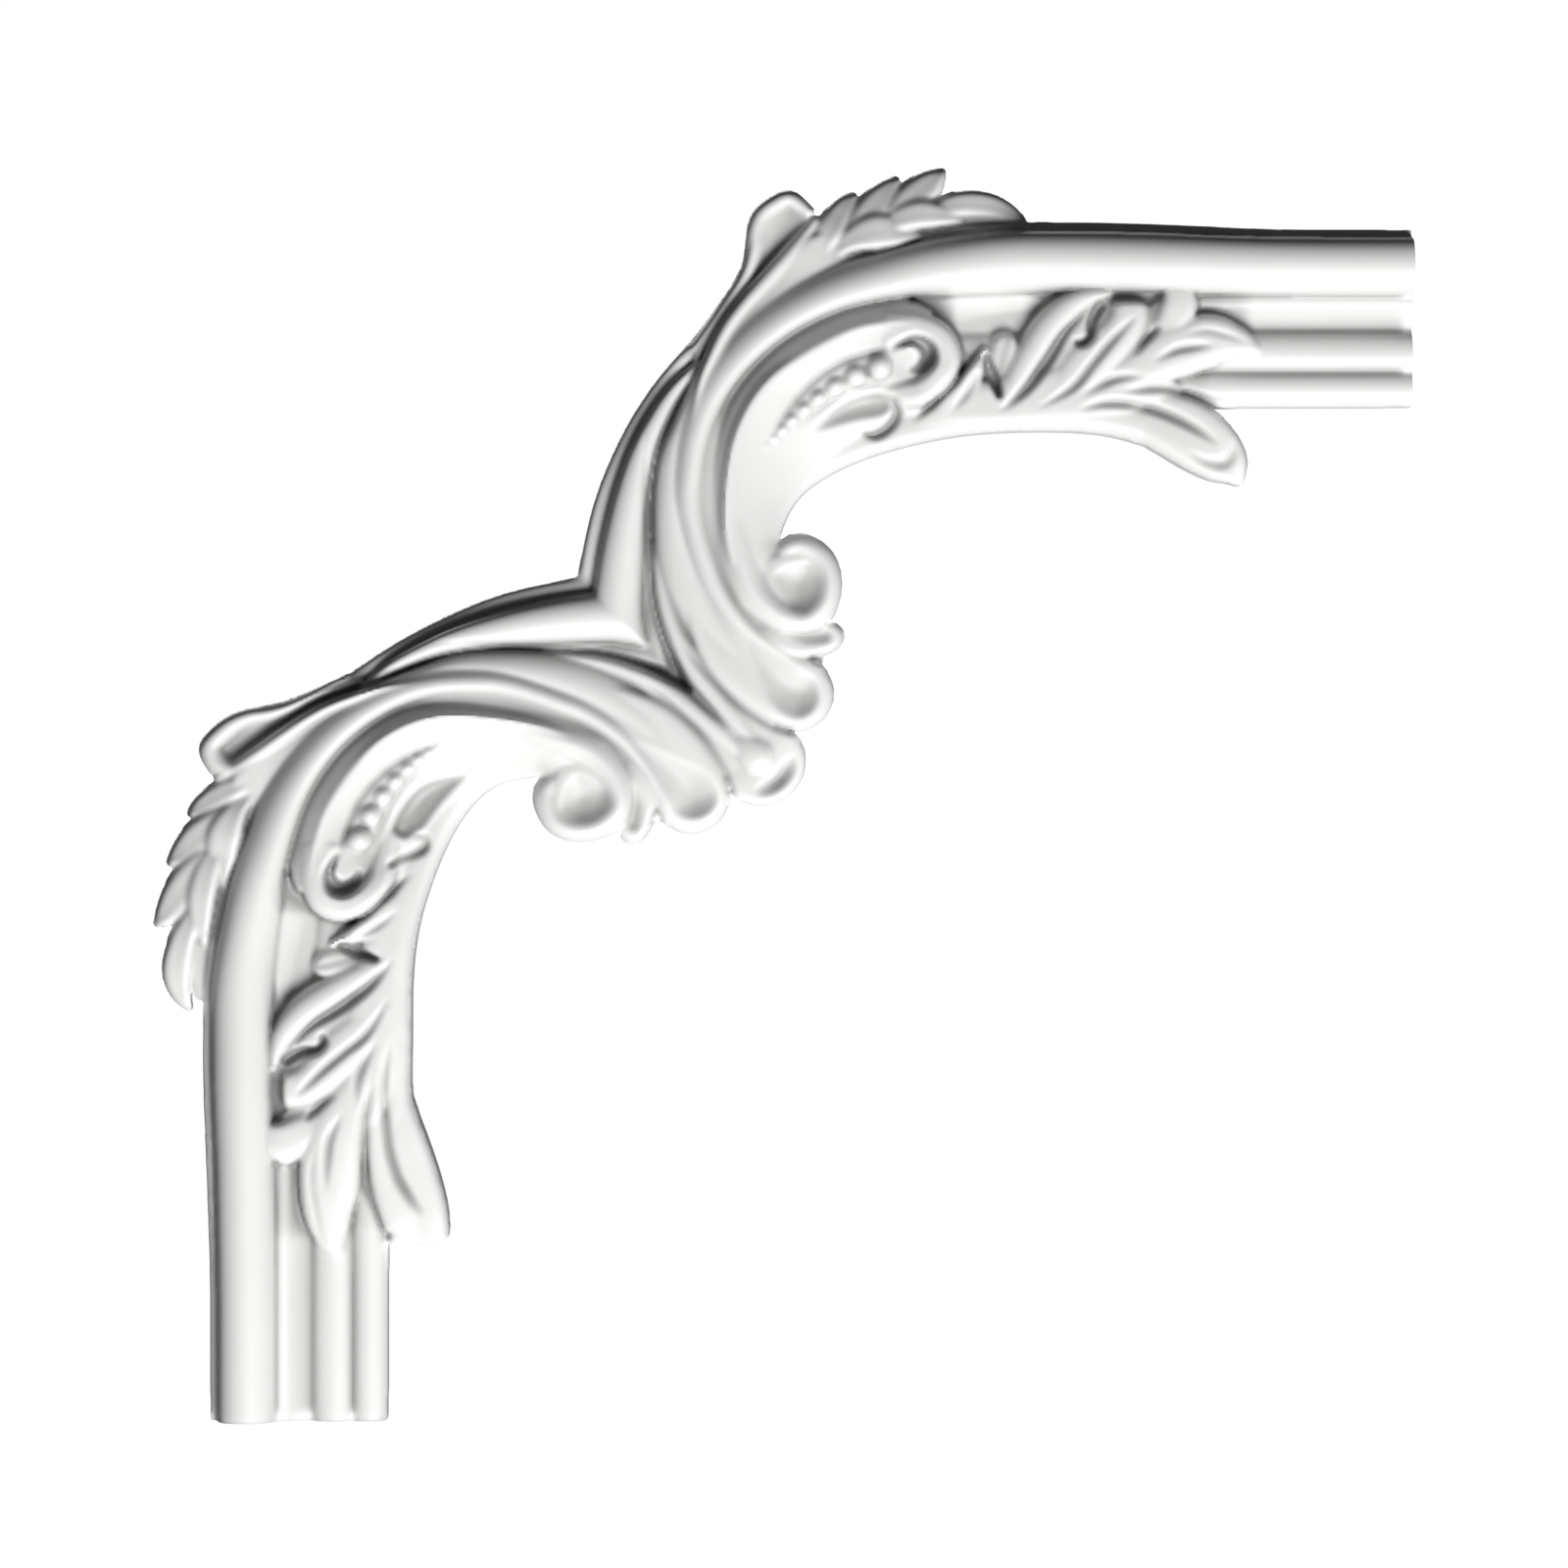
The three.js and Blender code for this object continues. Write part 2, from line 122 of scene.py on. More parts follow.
class Field:
    """A number in a node tree that follows the strip, so a section reads as a formula."""

    def __init__(self, tree, socket):
        self.tree = tree
        self.socket = socket

    def math(self, operation, *others):
        node = new_node(self.tree, "ShaderNodeMath", operation=operation)
        for slot, value in zip(node.inputs, (self,) + others):
            if isinstance(value, Field):
                self.tree.links.new(value.socket, slot)
            else:
                slot.default_value = value
        return Field(self.tree, node.outputs[0])

    def __add__(self, other):
        return self.math("ADD", other)

    def __sub__(self, other):
        return self.math("SUBTRACT", other)

    def __mul__(self, other):
        return self.math("MULTIPLY", other)

    def __truediv__(self, other):
        return self.math("DIVIDE", other)

    def __pow__(self, other):
        return self.math("POWER", other)

    def flipped(self):
        return (self * -1.0) + 1.0

    def positive(self):
        return self.math("MAXIMUM", 0.0)


def new_tree(name, sockets, result):
    """An empty node tree with its sockets, each named with what it carries."""
    tree = bpy.data.node_groups.new(name, "GeometryNodeTree")
    for label, kind in sockets.items():
        tree.interface.new_socket(label, in_out="INPUT", socket_type=f"NodeSocket{kind}")
    tree.interface.new_socket(result, in_out="OUTPUT", socket_type="NodeSocketGeometry")
    return tree, tree.links.new, new_node(tree, "NodeGroupInput")


def handed_out(tree, given, geometry):
    """The finished node tree: what it made becomes a plain mesh, is coated and handed out."""
    link = tree.links.new
    real = new_node(tree, "GeometryNodeRealizeInstances")
    link(geometry, real.inputs["Geometry"])
    coated = new_node(tree, "GeometryNodeSetMaterial")
    link(real.outputs["Geometry"], coated.inputs["Geometry"])
    link(given.outputs["Finish"], coated.inputs["Material"])
    result = new_node(tree, "NodeGroupOutput")
    link(coated.outputs["Geometry"], result.inputs[0])
    return tree


def strip_tree():
    """Strips along paths: widths, rounded ends and section come from what each path carries."""
    sockets = {"Paths": "Geometry", "Step along": "Float", "Steps across": "Int", "Finish": "Material"}
    tree, link, given = new_tree("carved_strips", sockets, "Strips")

    def carried(name):
        node = new_node(tree, "GeometryNodeInputNamedAttribute", data_type="FLOAT")
        node.inputs["Name"].default_value = name
        return Field(tree, node.outputs["Attribute"])

    def store(geometry, name, field):
        node = new_node(tree, "GeometryNodeStoreNamedAttribute", data_type="FLOAT", domain="POINT")
        node.inputs["Name"].default_value = name
        link(geometry, node.inputs["Geometry"])
        link(field.socket, node.inputs["Value"])
        return node.outputs["Geometry"]

    lines = new_node(tree, "GeometryNodeMeshToCurve")
    link(given.outputs["Paths"], lines.inputs["Mesh"])
    flowing = new_node(tree, "GeometryNodeCurveSplineType", spline_type="CATMULL_ROM")
    link(lines.outputs["Curve"], flowing.inputs["Curve"])
    stepped = new_node(tree, "GeometryNodeResampleCurve", mode="LENGTH")
    link(flowing.outputs["Curve"], stepped.inputs["Curve"])
    link(given.outputs["Step along"], stepped.inputs["Length"])

    travelled = Field(tree, new_node(tree, "GeometryNodeSplineParameter").outputs["Length"])
    whole = Field(tree, new_node(tree, "GeometryNodeSplineLength").outputs["Length"])
    to_end = (whole - travelled) / (carried("round_end") + NO_ROUND_END)
    to_start = travelled / (carried("round_start") + NO_ROUND_END)
    endward = to_end.flipped().positive().math("MAXIMUM", to_start.flipped().positive())
    curve = store(stepped.outputs["Curve"], "endward", endward)

    narrowing = (carried("endward") ** 2.0).flipped().positive() ** 0.5
    widened = new_node(tree, "GeometryNodeSetCurveRadius")
    link(curve, widened.inputs["Curve"])
    link((carried("half") * narrowing).math("MAXIMUM", THINNEST).socket, widened.inputs["Radius"])
    level = new_node(tree, "GeometryNodeSetCurveNormal", mode="Z_UP")
    link(widened.outputs["Curve"], level.inputs["Curve"])

    line = new_node(tree, "GeometryNodeCurvePrimitiveLine")
    line.inputs["Start"].default_value = (-1.0, 0.0, 0.0)
    line.inputs["End"].default_value = (1.0, 0.0, 0.0)
    spaced = new_node(tree, "GeometryNodeResampleCurve", mode="COUNT")
    link(line.outputs["Curve"], spaced.inputs["Curve"])
    link(given.outputs["Steps across"], spaced.inputs["Count"])
    parted = new_node(tree, "ShaderNodeSeparateXYZ")
    link(new_node(tree, "GeometryNodeInputPosition").outputs["Position"], parted.inputs[0])
    across = store(spaced.outputs["Curve"], "side", Field(tree, parted.outputs["X"]) * -1.0)
    swept = new_node(tree, "GeometryNodeCurveToMesh")
    link(level.outputs["Curve"], swept.inputs["Curve"])
    link(across, swept.inputs["Profile Curve"])
    radius = new_node(tree, "GeometryNodeInputRadius")
    link(radius.outputs["Radius"], swept.inputs["Scale"])

    side = carried("side")
    toward = carried("endward")
    spread = ((toward ** 2.0) + (side * side) * (toward ** 2.0).flipped()) ** 0.5
    shoulder = (spread ** carried("square")).flipped().positive() ** 0.5
    bowl = (spread ** 2.0).flipped().positive() ** carried("dish_power")
    rib = ((side - carried("groove_at")) / carried("groove_width")) ** 2.0
    height = carried("crest") - carried("drop") * shoulder.flipped() - carried("dish") * bowl
    height = height - carried("groove") * rib.flipped().positive() + carried("lean") * side
    lift = new_node(tree, "ShaderNodeCombineXYZ")
    link(height.socket, lift.inputs["Z"])
    raised = new_node(tree, "GeometryNodeSetPosition")
    link(swept.outputs["Mesh"], raised.inputs["Geometry"])
    link(lift.outputs[0], raised.inputs["Offset"])
    return handed_out(tree, given, raised.outputs["Geometry"])


def smooth(value, low, high):
    t = np.clip((value - low) / (high - low), 0.0, 1.0)
    return t * t * (3.0 - 2.0 * t)


def upper_place(along, out):
    return along, out


def eased(change, along, out):
    setting_in = smooth(along, *change["along_from"]) * smooth(out, *change["out_from"])
    return change["by"] * setting_in * (1 - smooth(along, *change["along_to"]))


def lower_place(along, out):
    slid = along - eased(LOWER_SLIDE, along, out) + eased(LOWER_SPRAY, along, out)
    lifted = out + LOWER_LIFT["by"] * smooth(along, *LOWER_LIFT["along_from"])
    return -lifted, -slid


HALVES = {"upper": upper_place, "lower": lower_place}
STRIPS = strip_tree()
pattern = {"upper": [], "lower": []}


def made_solid(name, mesh, tree, settings):
    """Run a node tree on a mesh once and keep the plain result."""
    board = bpy.data.objects.new(name, mesh)
    bpy.context.scene.collection.objects.link(board)
    nodes = board.modifiers.new("nodes", "NODES")
    nodes.node_group = tree
    for item in tree.interface.items_tree:
        if item.in_out == "INPUT" and item.name in settings:
            nodes[item.identifier] = settings[item.name]
    seen = board.evaluated_get(bpy.context.evaluated_depsgraph_get())
    plain = bpy.data.meshes.new_from_object(seen)
    board.modifiers.remove(nodes)
    bpy.data.objects.remove(board)
    bpy.data.meshes.remove(mesh)
    return plain


def drawn_lines(name, members):
    """The members' paths as lines whose points carry widths, crests and sections."""
    points, lines, carried = [], [], {key: [] for key in ("half", "crest", *PLAIN)}
    for member in members:
        section = {**PLAIN, **member}
        first = len(points)
        for along, out, half, crest, *lean in member["path"]:
            points.append((along, out, 0.0))
            section["half"], section["crest"] = half, crest
            if lean:
                section["lean"] = lean[0]
            if "steep" in member:
                section["drop"] = member["steep"] * half
            if "incised" in member:
                section["dish"], section["crest"] = -crest, 0.0
            for key, values in carried.items():
                values.append(section[key])
        lines += [(i, i + 1) for i in range(first, len(points) - 1)]
    mesh = bpy.data.meshes.new(name)
    mesh.from_pydata(points, lines, [])
    for key, values in carried.items():
        mesh.attributes.new(key, "FLOAT", "POINT").data.foreach_set("value", values)
    return mesh


def places_of(mesh):
    places = np.empty(len(mesh.vertices) * 3, np.float32)
    mesh.vertices.foreach_get("co", places)
    return places.reshape(-1, 3)


def lay(name, members, kept):
    """Lay the members of one group on both halves of the board and keep their strips."""
    settings = {"Step along": STEP_ALONG, "Steps across": STEPS_ACROSS, "Finish": primer}
    for half, place in HALVES.items():
        wanted = [member for member in members if member.get("only", half) == half]
        label = f"{name}_{half}"
        strips = made_solid(label, drawn_lines(label, wanted), STRIPS, settings)
        spots = places_of(strips).astype(np.float64)
        spots[:, 0], spots[:, 1] = place(spots[:, 0], spots[:, 1])
        strips.vertices.foreach_set("co", spots.ravel())
        strips.update()
        kept[half].append(strips)


def carve(name, members):
    lay(name, members, pattern)


# Ground: the plain bed of the casting that all the carving stands on, in the same foam.
# It fills what the members leave open, so the casting has no hole. At the ends of the arms it runs on
# past the saw cuts, as the profile does.
RUN_OUT = 172
BED = 5.8
flat = {"drop": 0.6, "square": 16.0}
carve("ground", [
    {"path": [(RUN_OUT, 80.7, 19.1, BED), (60, 80.7, 19.1, BED)], **flat},
    {"path": [(92, 72, 13.3, BED), (64, 71.1, 14.2, BED), (42, 68.9, 16, BED), (21.1, 56.9, 14.7, BED),
              (9.6, 38, 13.3, BED), (12, 15.1, 13.3, BED), (16.9, -6, 12, BED)], **flat},
    {"path": [(0.9, 63.1, 5.8, BED), (22, 86, 7.6, BED), (42, 96.9, 7.6, BED), (66, 100.9, 4, BED)],
     **flat},
    {"path": [(3.1, 66, 4.9, BED), (-6, 46, 8.9, BED), (-8.9, 26, 11.1, BED), (-6, 8, 11.6, BED),
              (2, -4, 11.1, BED)], **flat},
    {"path": [(24, 24, 8.4, BED), (26, 8, 7.6, BED), (22, -4, 7.6, BED), (16, -16, 6.7, BED)], **flat},
    {"path": [(102.2, 73.3, 10.7, 8.2), (77.8, 72.4, 11.1, 8.2), (60, 71.6, 11.1, 8.2)], **flat},
    {"path": [(19.6, 21.8, 6.7, 9), (27.1, 20.4, 7.6, 9), (32.9, 20, 5.8, 9)], **flat},
])

# Panel profile: lip, fillet, cove and two beads, run straight along each arm.
# The plain lengths that butt against the square-cut ends have the same profile, in the same foam.
carve("profile", [
    {"path": [(RUN_OUT, 99.9, 0.9, 6.6), (135.6, 100, 0.9, 6.6), (113.3, 100.9, 1, 6.6),
              (91.1, 101.4, 1.1, 6.6), (77.8, 101.1, 1.1, 7.2), (68.9, 100.2, 1.3, 8.2),
              (62.2, 99.6, 1.4, 8.8), (53.3, 97.8, 1.4, 9.2), (44.4, 94.9, 1.3, 9.4)],
     "drop": 0.5, "square": 4.0},
    {"path": [(RUN_OUT, 84.2, 1.9, 9.6), (118.9, 84.2, 1.9, 9.6), (95.6, 84.4, 1.9, 9.5),
              (86.7, 84.9, 2, 9.4), (77.8, 85.6, 2, 9), (68.9, 86, 1.8, 8.4), (62.2, 86, 0.9, 7.6)],
     "drop": 1.6},
    {"path": [(RUN_OUT, 80.2, 3.2, 8.2), (91.1, 80.4, 3.3, 8.3), (80, 81.3, 4.4, 8.6),
              (71.1, 81.6, 4.9, 9), (63.3, 81.1, 5.6, 9.2), (54.4, 79.6, 6.2, 9.2)],
     "drop": 0.3, "square": 40.0, "dish": 0.7, "dish_power": 1.0, "lean": -1.2},
    {"path": [(RUN_OUT, 72.8, 4.7, 10.4), (58.9, 72.7, 4.7, 10.4)], "drop": 4.0},
    {"path": [(RUN_OUT, 64.8, 4.1, 10), (86.7, 64.8, 4.1, 10)], "drop": 3.6},
])

# Roll and ribs: the big roll of the profile leaves the arm, bends round the scroll, thins to a rib
# and ends along a shell lobe. A second rib parts it from the cupped ear on the outline, which has a
# raised rim and is modelled apart for each arm.
cup = {"drop": 0.3, "square": 20.0, "dish": 1.9, "dish_power": 1.0}
carve("roll", [
    {"path": [(RUN_OUT, 92.3, 6.6, 16.6), (135.6, 92.4, 6.6, 16.6), (108.9, 93, 6.8, 16.6),
              (91.1, 93.3, 7, 16.6), (73.3, 93.1, 7, 16.6, 0), (57.8, 91.8, 6.4, 16.4, 0.8),
              (46, 89.8, 5.8, 15.8, 1.7), (35.6, 86.9, 5.3, 15.2, 2.1), (26.2, 82.4, 4.9, 14.8, 2.1),
              (18.2, 76.7, 4.7, 14.6, 2), (11.6, 69.8, 4.4, 14.5, 1.7), (6.7, 61.8, 4, 14.5, 1.3),
              (4, 53.3, 3.3, 14.5, 0.8), (2.9, 44.4, 2.9, 14.4, 0.4), (3.1, 39.1, 2.7, 14.3, 0),
              (4.2, 33.1, 2.4, 14.2, 0), (6, 27.1, 2.3, 14.1, 0), (8.4, 20.9, 2.2, 13.9, 0),
              (11.8, 15.3, 2, 13.7, 0), (15.3, 11.1, 1.8, 13.4, 0), (19.3, 7.6, 1.6, 13.2, 0),
              (24.2, 4.4, 1.2, 12.8, 0), (29.3, 2.4, 0.9, 12.2, 0), (32.9, 1.8, 0.4, 11.4, 0)],
     "steep": 1.05},
    {"path": [(32, 103.6, 1.1, 8.6, 0), (30, 100.4, 2, 9.8, 0), (27.1, 96.4, 2.4, 11, 0),
              (23.8, 92.4, 2.6, 12, 0), (20, 88.2, 2.6, 12.6), (15.6, 83.3, 2.4, 13.3),
              (11.8, 78.2, 2.3, 13.8), (8.7, 72.4, 2.1, 14.1), (5.8, 65.8, 1.6, 14.2),
              (3.8, 57.3, 0.9, 14), (2.9, 48.9, 0.3, 13.4)], "drop": 4.4},
    {"path": [(41.3, 97.3, 2.7, 9.6), (33.3, 95.1, 4.9, 10.6), (25.8, 88.4, 4.4, 11.2),
              (18.7, 80.9, 3.3, 11.8), (12.9, 73.3, 2.4, 12.4), (8.9, 65.8, 1.3, 12.6)],
     "drop": 1.2, "square": 6.0},
    {"path": [(4.9, 70.2, 1.3, 9, 1), (12, 79.1, 2.9, 9, 1.2), (17.3, 86.7, 3.8, 9, 1.2),
              (21.6, 94.2, 4.9, 8.9, 1.1), (23.6, 98.7, 6, 8.8, 0.7), (25.3, 102.7, 5.8, 8.7, 0.3),
              (26.4, 105.3, 3.8, 8.5, 0), (27.1, 107.1, 0.9, 8, 0)], **cup, "only": "upper"},
    {"path": [(3.6, 72.9, 0.9, 8.8), (8, 79.1, 1.3, 9.6), (12.9, 85.6, 1.8, 9.7), (16.4, 91.1, 2, 9.6),
              (17.8, 96.4, 2.2, 9.5), (18, 100.4, 2.3, 9.4), (19.3, 103.8, 2.4, 9.2),
              (22.2, 106.2, 2.4, 8.9), (25.3, 107.6, 2.3, 8.5), (28.2, 106, 2, 8.4),
              (30.7, 104, 1.3, 8.6)], "drop": 3.8, "only": "upper"},
    {"path": [(4, 69.8, 1.3, 9, 1), (9.3, 78.2, 2.9, 9, 1.5), (15.1, 85.8, 4.2, 8.8, 1.7),
              (19.6, 92.9, 6.2, 8.6, 1.6), (22.2, 97.3, 7.3, 8.4, 1.2), (24.2, 100.9, 6.4, 8.4, 0.6),
              (25.8, 103.1, 4, 8.2, 0.2), (26.7, 104.7, 0.9, 8, 0)], **cup, "only": "lower"},
    {"path": [(2.2, 73.3, 0.9, 8.8), (5.6, 79.1, 1.3, 9.4), (8.7, 83.1, 1.8, 9.8), (11.6, 87.6, 2.2, 10),
              (13.3, 92, 2.6, 10), (14.2, 96, 2.8, 10), (16, 99.3, 3, 9.9), (18.9, 102.2, 3.1, 9.6),
              (22.7, 104.9, 2.9, 9.2), (26.2, 104.2, 2.9, 9.2), (28.7, 101.8, 2.9, 9.6),
              (29.3, 98.7, 2.7, 10.2), (27.8, 95.3, 2.2, 11)], "drop": 4.2, "only": "lower"},
])

# Notch moulding: lip and roll come out again beyond the rib and meet their mirror image at the notch.
# A low tongue, a broad ridge and thin stems fill the space between them and the shell. All of it is
# modelled on the bed and cast in one with it.
carve("notch", [
    {"path": [(7.1, 76.4, 1.1, 8.4), (0.4, 70, 1.8, 7.2), (-7.1, 59.6, 2, 6.8), (-11.8, 50.7, 2.1, 6.6),
              (-15.8, 40.9, 2.2, 6.4), (-18.2, 32, 2.2, 6.4), (-19.8, 23.3, 2.2, 6.4),
              (-21.3, 13.3, 2.2, 6.4)], "drop": 2.0, "square": 3.0},
    {"path": [(5.8, 71.1, 0.9, 9), (-0.4, 64, 1.8, 10.6), (-4.9, 56.4, 2.4, 11.8), (-8, 48.9, 3.1, 12.4),
              (-10.2, 40, 4, 12.8), (-11.8, 31.1, 4.7, 13), (-12.9, 22.2, 5.3, 13),
              (-13.3, 13.3, 5.8, 13), (-12, 2.2, 6.2, 13)], "steep": 1.0},
    {"path": [(-6.9, 48.9, 0.4, 8), (-7.3, 33.3, 1.1, 8.4), (-7.1, 24.4, 1.8, 8.6),
              (-6.4, 17.8, 2.4, 7.8), (-5.6, 10, 3.1, 7.4), (-4, 5.3, 2.4, 7), (-2, 2, 0.7, 6.2)],
     "drop": 0.8, "square": 6.0, "lean": 0.6},
    {"path": [(5.8, 68.9, 1.1, 12.2), (1.6, 57.3, 2.4, 12.4), (-0.7, 48.9, 3.8, 12.4),
              (-1.1, 40, 4.4, 12.6), (0, 30, 5.1, 12.8), (2.9, 20.4, 5.8, 12.9), (6.9, 12.4, 6, 12.9),
              (12.2, 5.8, 5.8, 12.8), (18.9, 0, 4.2, 12.4), (24.4, -3.1, 1.8, 11.8)],
     "drop": 5.4, "square": 1.9, "lean": 0.6, "dish": 0.3},
    {"path": [(-5.3, 30.7, 0.4, 8), (-4.2, 22.7, 1.6, 9.8), (-2.4, 15.1, 2.2, 10.8),
              (0.2, 8.4, 2.4, 11.4), (3.8, 2, 2.7, 11.9), (8.4, -4.2, 2.9, 12.3), (13.3, -10, 2.9, 12.5),
              (18.2, -15.6, 2, 12.2)], "drop": 2.8},
    {"path": [(-1.8, 14.2, 1.3, 9.4), (0.9, 7.6, 2.2, 10.4), (5.1, 0.4, 3.3, 11), (10.2, -5.8, 4.4, 11.6),
              (16, -12, 5.6, 11.9), (22.2, -17.8, 4.4, 11.4)], "drop": 0.5, "square": 6.0},
])

# C scroll: a bevelled rim that ends in a volute each way, with a broad face sloping to the inner edge.
# It stands highest of all the carving. The stem on its inner edge carries the leaves, and ends a
# little differently on each arm.
carve("scroll", [
    {"path": [(52.4, 71.8, 1.8, 16), (53.6, 71.8, 1.8, 15.8)],
     "drop": 4.0, "round_start": 1.9, "round_end": 1.9},
    {"path": [(42.7, 62.2, 0.9, 12), (46.7, 62.7, 2.2, 13), (51.1, 63.3, 2.9, 14.2),
              (55.3, 64, 3.1, 15.8), (59.1, 66.7, 3.3, 17.2), (60.7, 71.1, 3.6, 17.4),
              (58.7, 75.3, 4.2, 17.6), (53.8, 77.1, 4.9, 17.4), (46.7, 77.3, 5.3, 16.8)],
     "drop": 5.0, "square": 4.0},
    {"path": [(57.3, 80, 1.8, 15.9, 1.5), (52.2, 81.8, 2.9, 15.4, 2.4), (46, 81.8, 3.4, 15, 2.9),
              (39.1, 80.7, 3.8, 14.6, 3.2), (32, 77.8, 4, 14.2, 3.4), (24.9, 73.6, 4.1, 13.9, 3.5),
              (18.7, 67.6, 4.1, 13.6, 3.5), (14, 60.7, 4.1, 13.4, 3.5), (11.3, 52.9, 3.9, 13.4, 3.3),
              (10.2, 44.4, 3.4, 13.6, 2.9), (10.4, 35.6, 2.8, 13.9, 2.4), (11.8, 26.2, 2.1, 14.2, 1.8),
              (14.9, 17.8, 1.3, 14.2, 1.1), (17.3, 14.2, 0.7, 13.4, 0.5), (19.6, 11.6, 0.2, 12.2, 0.1)],
     "drop": 0.6, "square": 20.0},
    {"path": [(12.4, 42.2, 1.3, 14.6), (13.3, 33.3, 3.1, 15.6), (14.9, 24.9, 4.2, 15.9),
              (17.8, 18.4, 4.4, 15.7), (23.1, 13.8, 3.8, 15.4), (29.1, 12.4, 3.3, 15.2),
              (33.6, 16.2, 3, 15), (34.7, 21.8, 2.8, 14.8), (32.7, 26.7, 2.9, 14.6),
              (28, 29.1, 3.1, 14.2), (24.2, 27.6, 2.4, 13.4), (21.8, 24.4, 1.6, 11.6)],
     "steep": 1.3, "square": 1.6},
    {"path": [(58, 68, 7.6, 14.2, -3.2), (47.8, 66, 13.6, 13.2, -4.4), (37.9, 62.6, 12.9, 13, -4.4),
              (29.4, 57.6, 12.9, 12.9, -4.4), (23, 50.4, 11.1, 13, -4.2), (18.9, 41.8, 8.4, 13.4, -3.6),
              (17.1, 32.2, 6.4, 14, -2.6), (18.7, 24.9, 5.3, 13.8, -1.6), (22.2, 20, 3.1, 12, -0.8)],
     "drop": 0.8, "square": 20.0},
    {"path": [(15.6, 22.7, 3.1, 12.6), (21.3, 21.1, 6, 13.4), (27.1, 20.4, 7.3, 13.4),
              (33.3, 20, 6, 13.4)], "drop": 0.6, "square": 8.0},
    {"path": [(20.4, 35.6, 3.1, 10.6), (22.4, 40.2, 3.6, 9.8), (25.3, 43.1, 3.6, 9.4),
              (30.4, 47.1, 3.6, 9.4), (37.1, 50.7, 3.6, 9.4), (44.7, 53.6, 3.6, 9.8),
              (54.7, 56.2, 3.6, 11), (66.2, 58.2, 3.6, 12.4), (82.2, 58.9, 3.6, 12.8),
              (91.1, 58.7, 3.6, 12.6), (97.8, 57.8, 2.2, 11.6)], "drop": 3.0, "square": 3.0},
    {"path": [(77.8, 58.9, 2.7, 12), (91.1, 58.7, 3.6, 12.7), (97.8, 58.2, 3.8, 12.6),
              (105.6, 56.2, 3.8, 12.2), (112.4, 53.3, 3.1, 11.6)],
     "drop": 3.0, "square": 3.0, "only": "upper"},
    {"path": [(77.8, 58.9, 2.7, 12), (91.1, 58.9, 3.6, 12.7), (100, 59.3, 3.8, 12.6),
              (108.9, 58.2, 3.8, 12.2), (115.6, 54.7, 3.1, 11.6)],
     "drop": 3.0, "square": 3.0, "only": "lower"},
])

# Shell: three lobes to each half, hollowed like spoons, the middle one shared and lying on the mitre.
# Each lobe is a strip with a round end that grows out of its own stem, cast in one with the rest.
carve("shell", [
    {"path": [(16.4, 14.7, 1.3, 12), (22.7, 9.1, 2.7, 13.6), (29.3, 7.3, 3.2, 13.6), (38, 10, 3.3, 12.6)],
     "drop": 3.2, "square": 4.0, "dish": 0.8, "round_end": 4.0},
    {"path": [(12.9, 67.6, 0.7, 11.6), (8.7, 57.8, 2.2, 13), (6.4, 47.8, 2.9, 13.2),
              (6.7, 36.7, 3.1, 13.2), (9.1, 25.6, 3.3, 13.2), (13.1, 16.9, 3.3, 13),
              (18.2, 11.1, 2.7, 12.8), (24.4, 7.8, 1.3, 12.2)], "drop": 3.0, "square": 4.0, "dish": 0.6},
    {"path": [(2.2, 26.2, 0.7, 11.8), (4.7, 18.2, 3.1, 12.7), (8, 11.6, 5.3, 13.1),
              (12.9, 5.3, 7.1, 13.4), (19.1, 0.2, 8, 13.5), (26.7, -3.6, 8.4, 13.2),
              (35.6, -5.8, 8.4, 11.8)], "drop": 3.0, "square": 4.0, "dish": 1.0, "round_end": 8.6},
    {"path": [(4.9, -4.9, 0.7, 6.8), (9.8, -9.8, 3.1, 9.2), (14.7, -14.7, 6.7, 11.8),
              (19.6, -19.6, 9.6, 12.8), (26.4, -26.4, 9.8, 11.8)],
     "drop": 1.8, "square": 4.0, "dish": 1.4, "dish_power": 1.0, "round_end": 9.2},
    {"path": [(10.2, -10.2, 0.9, 8.6), (13.8, -13.8, 2.7, 11.8), (17.3, -17.3, 4, 13.4),
              (21.3, -21.3, 4, 13.2)], "drop": 3.2, "square": 2.2, "round_end": 4.2},
])

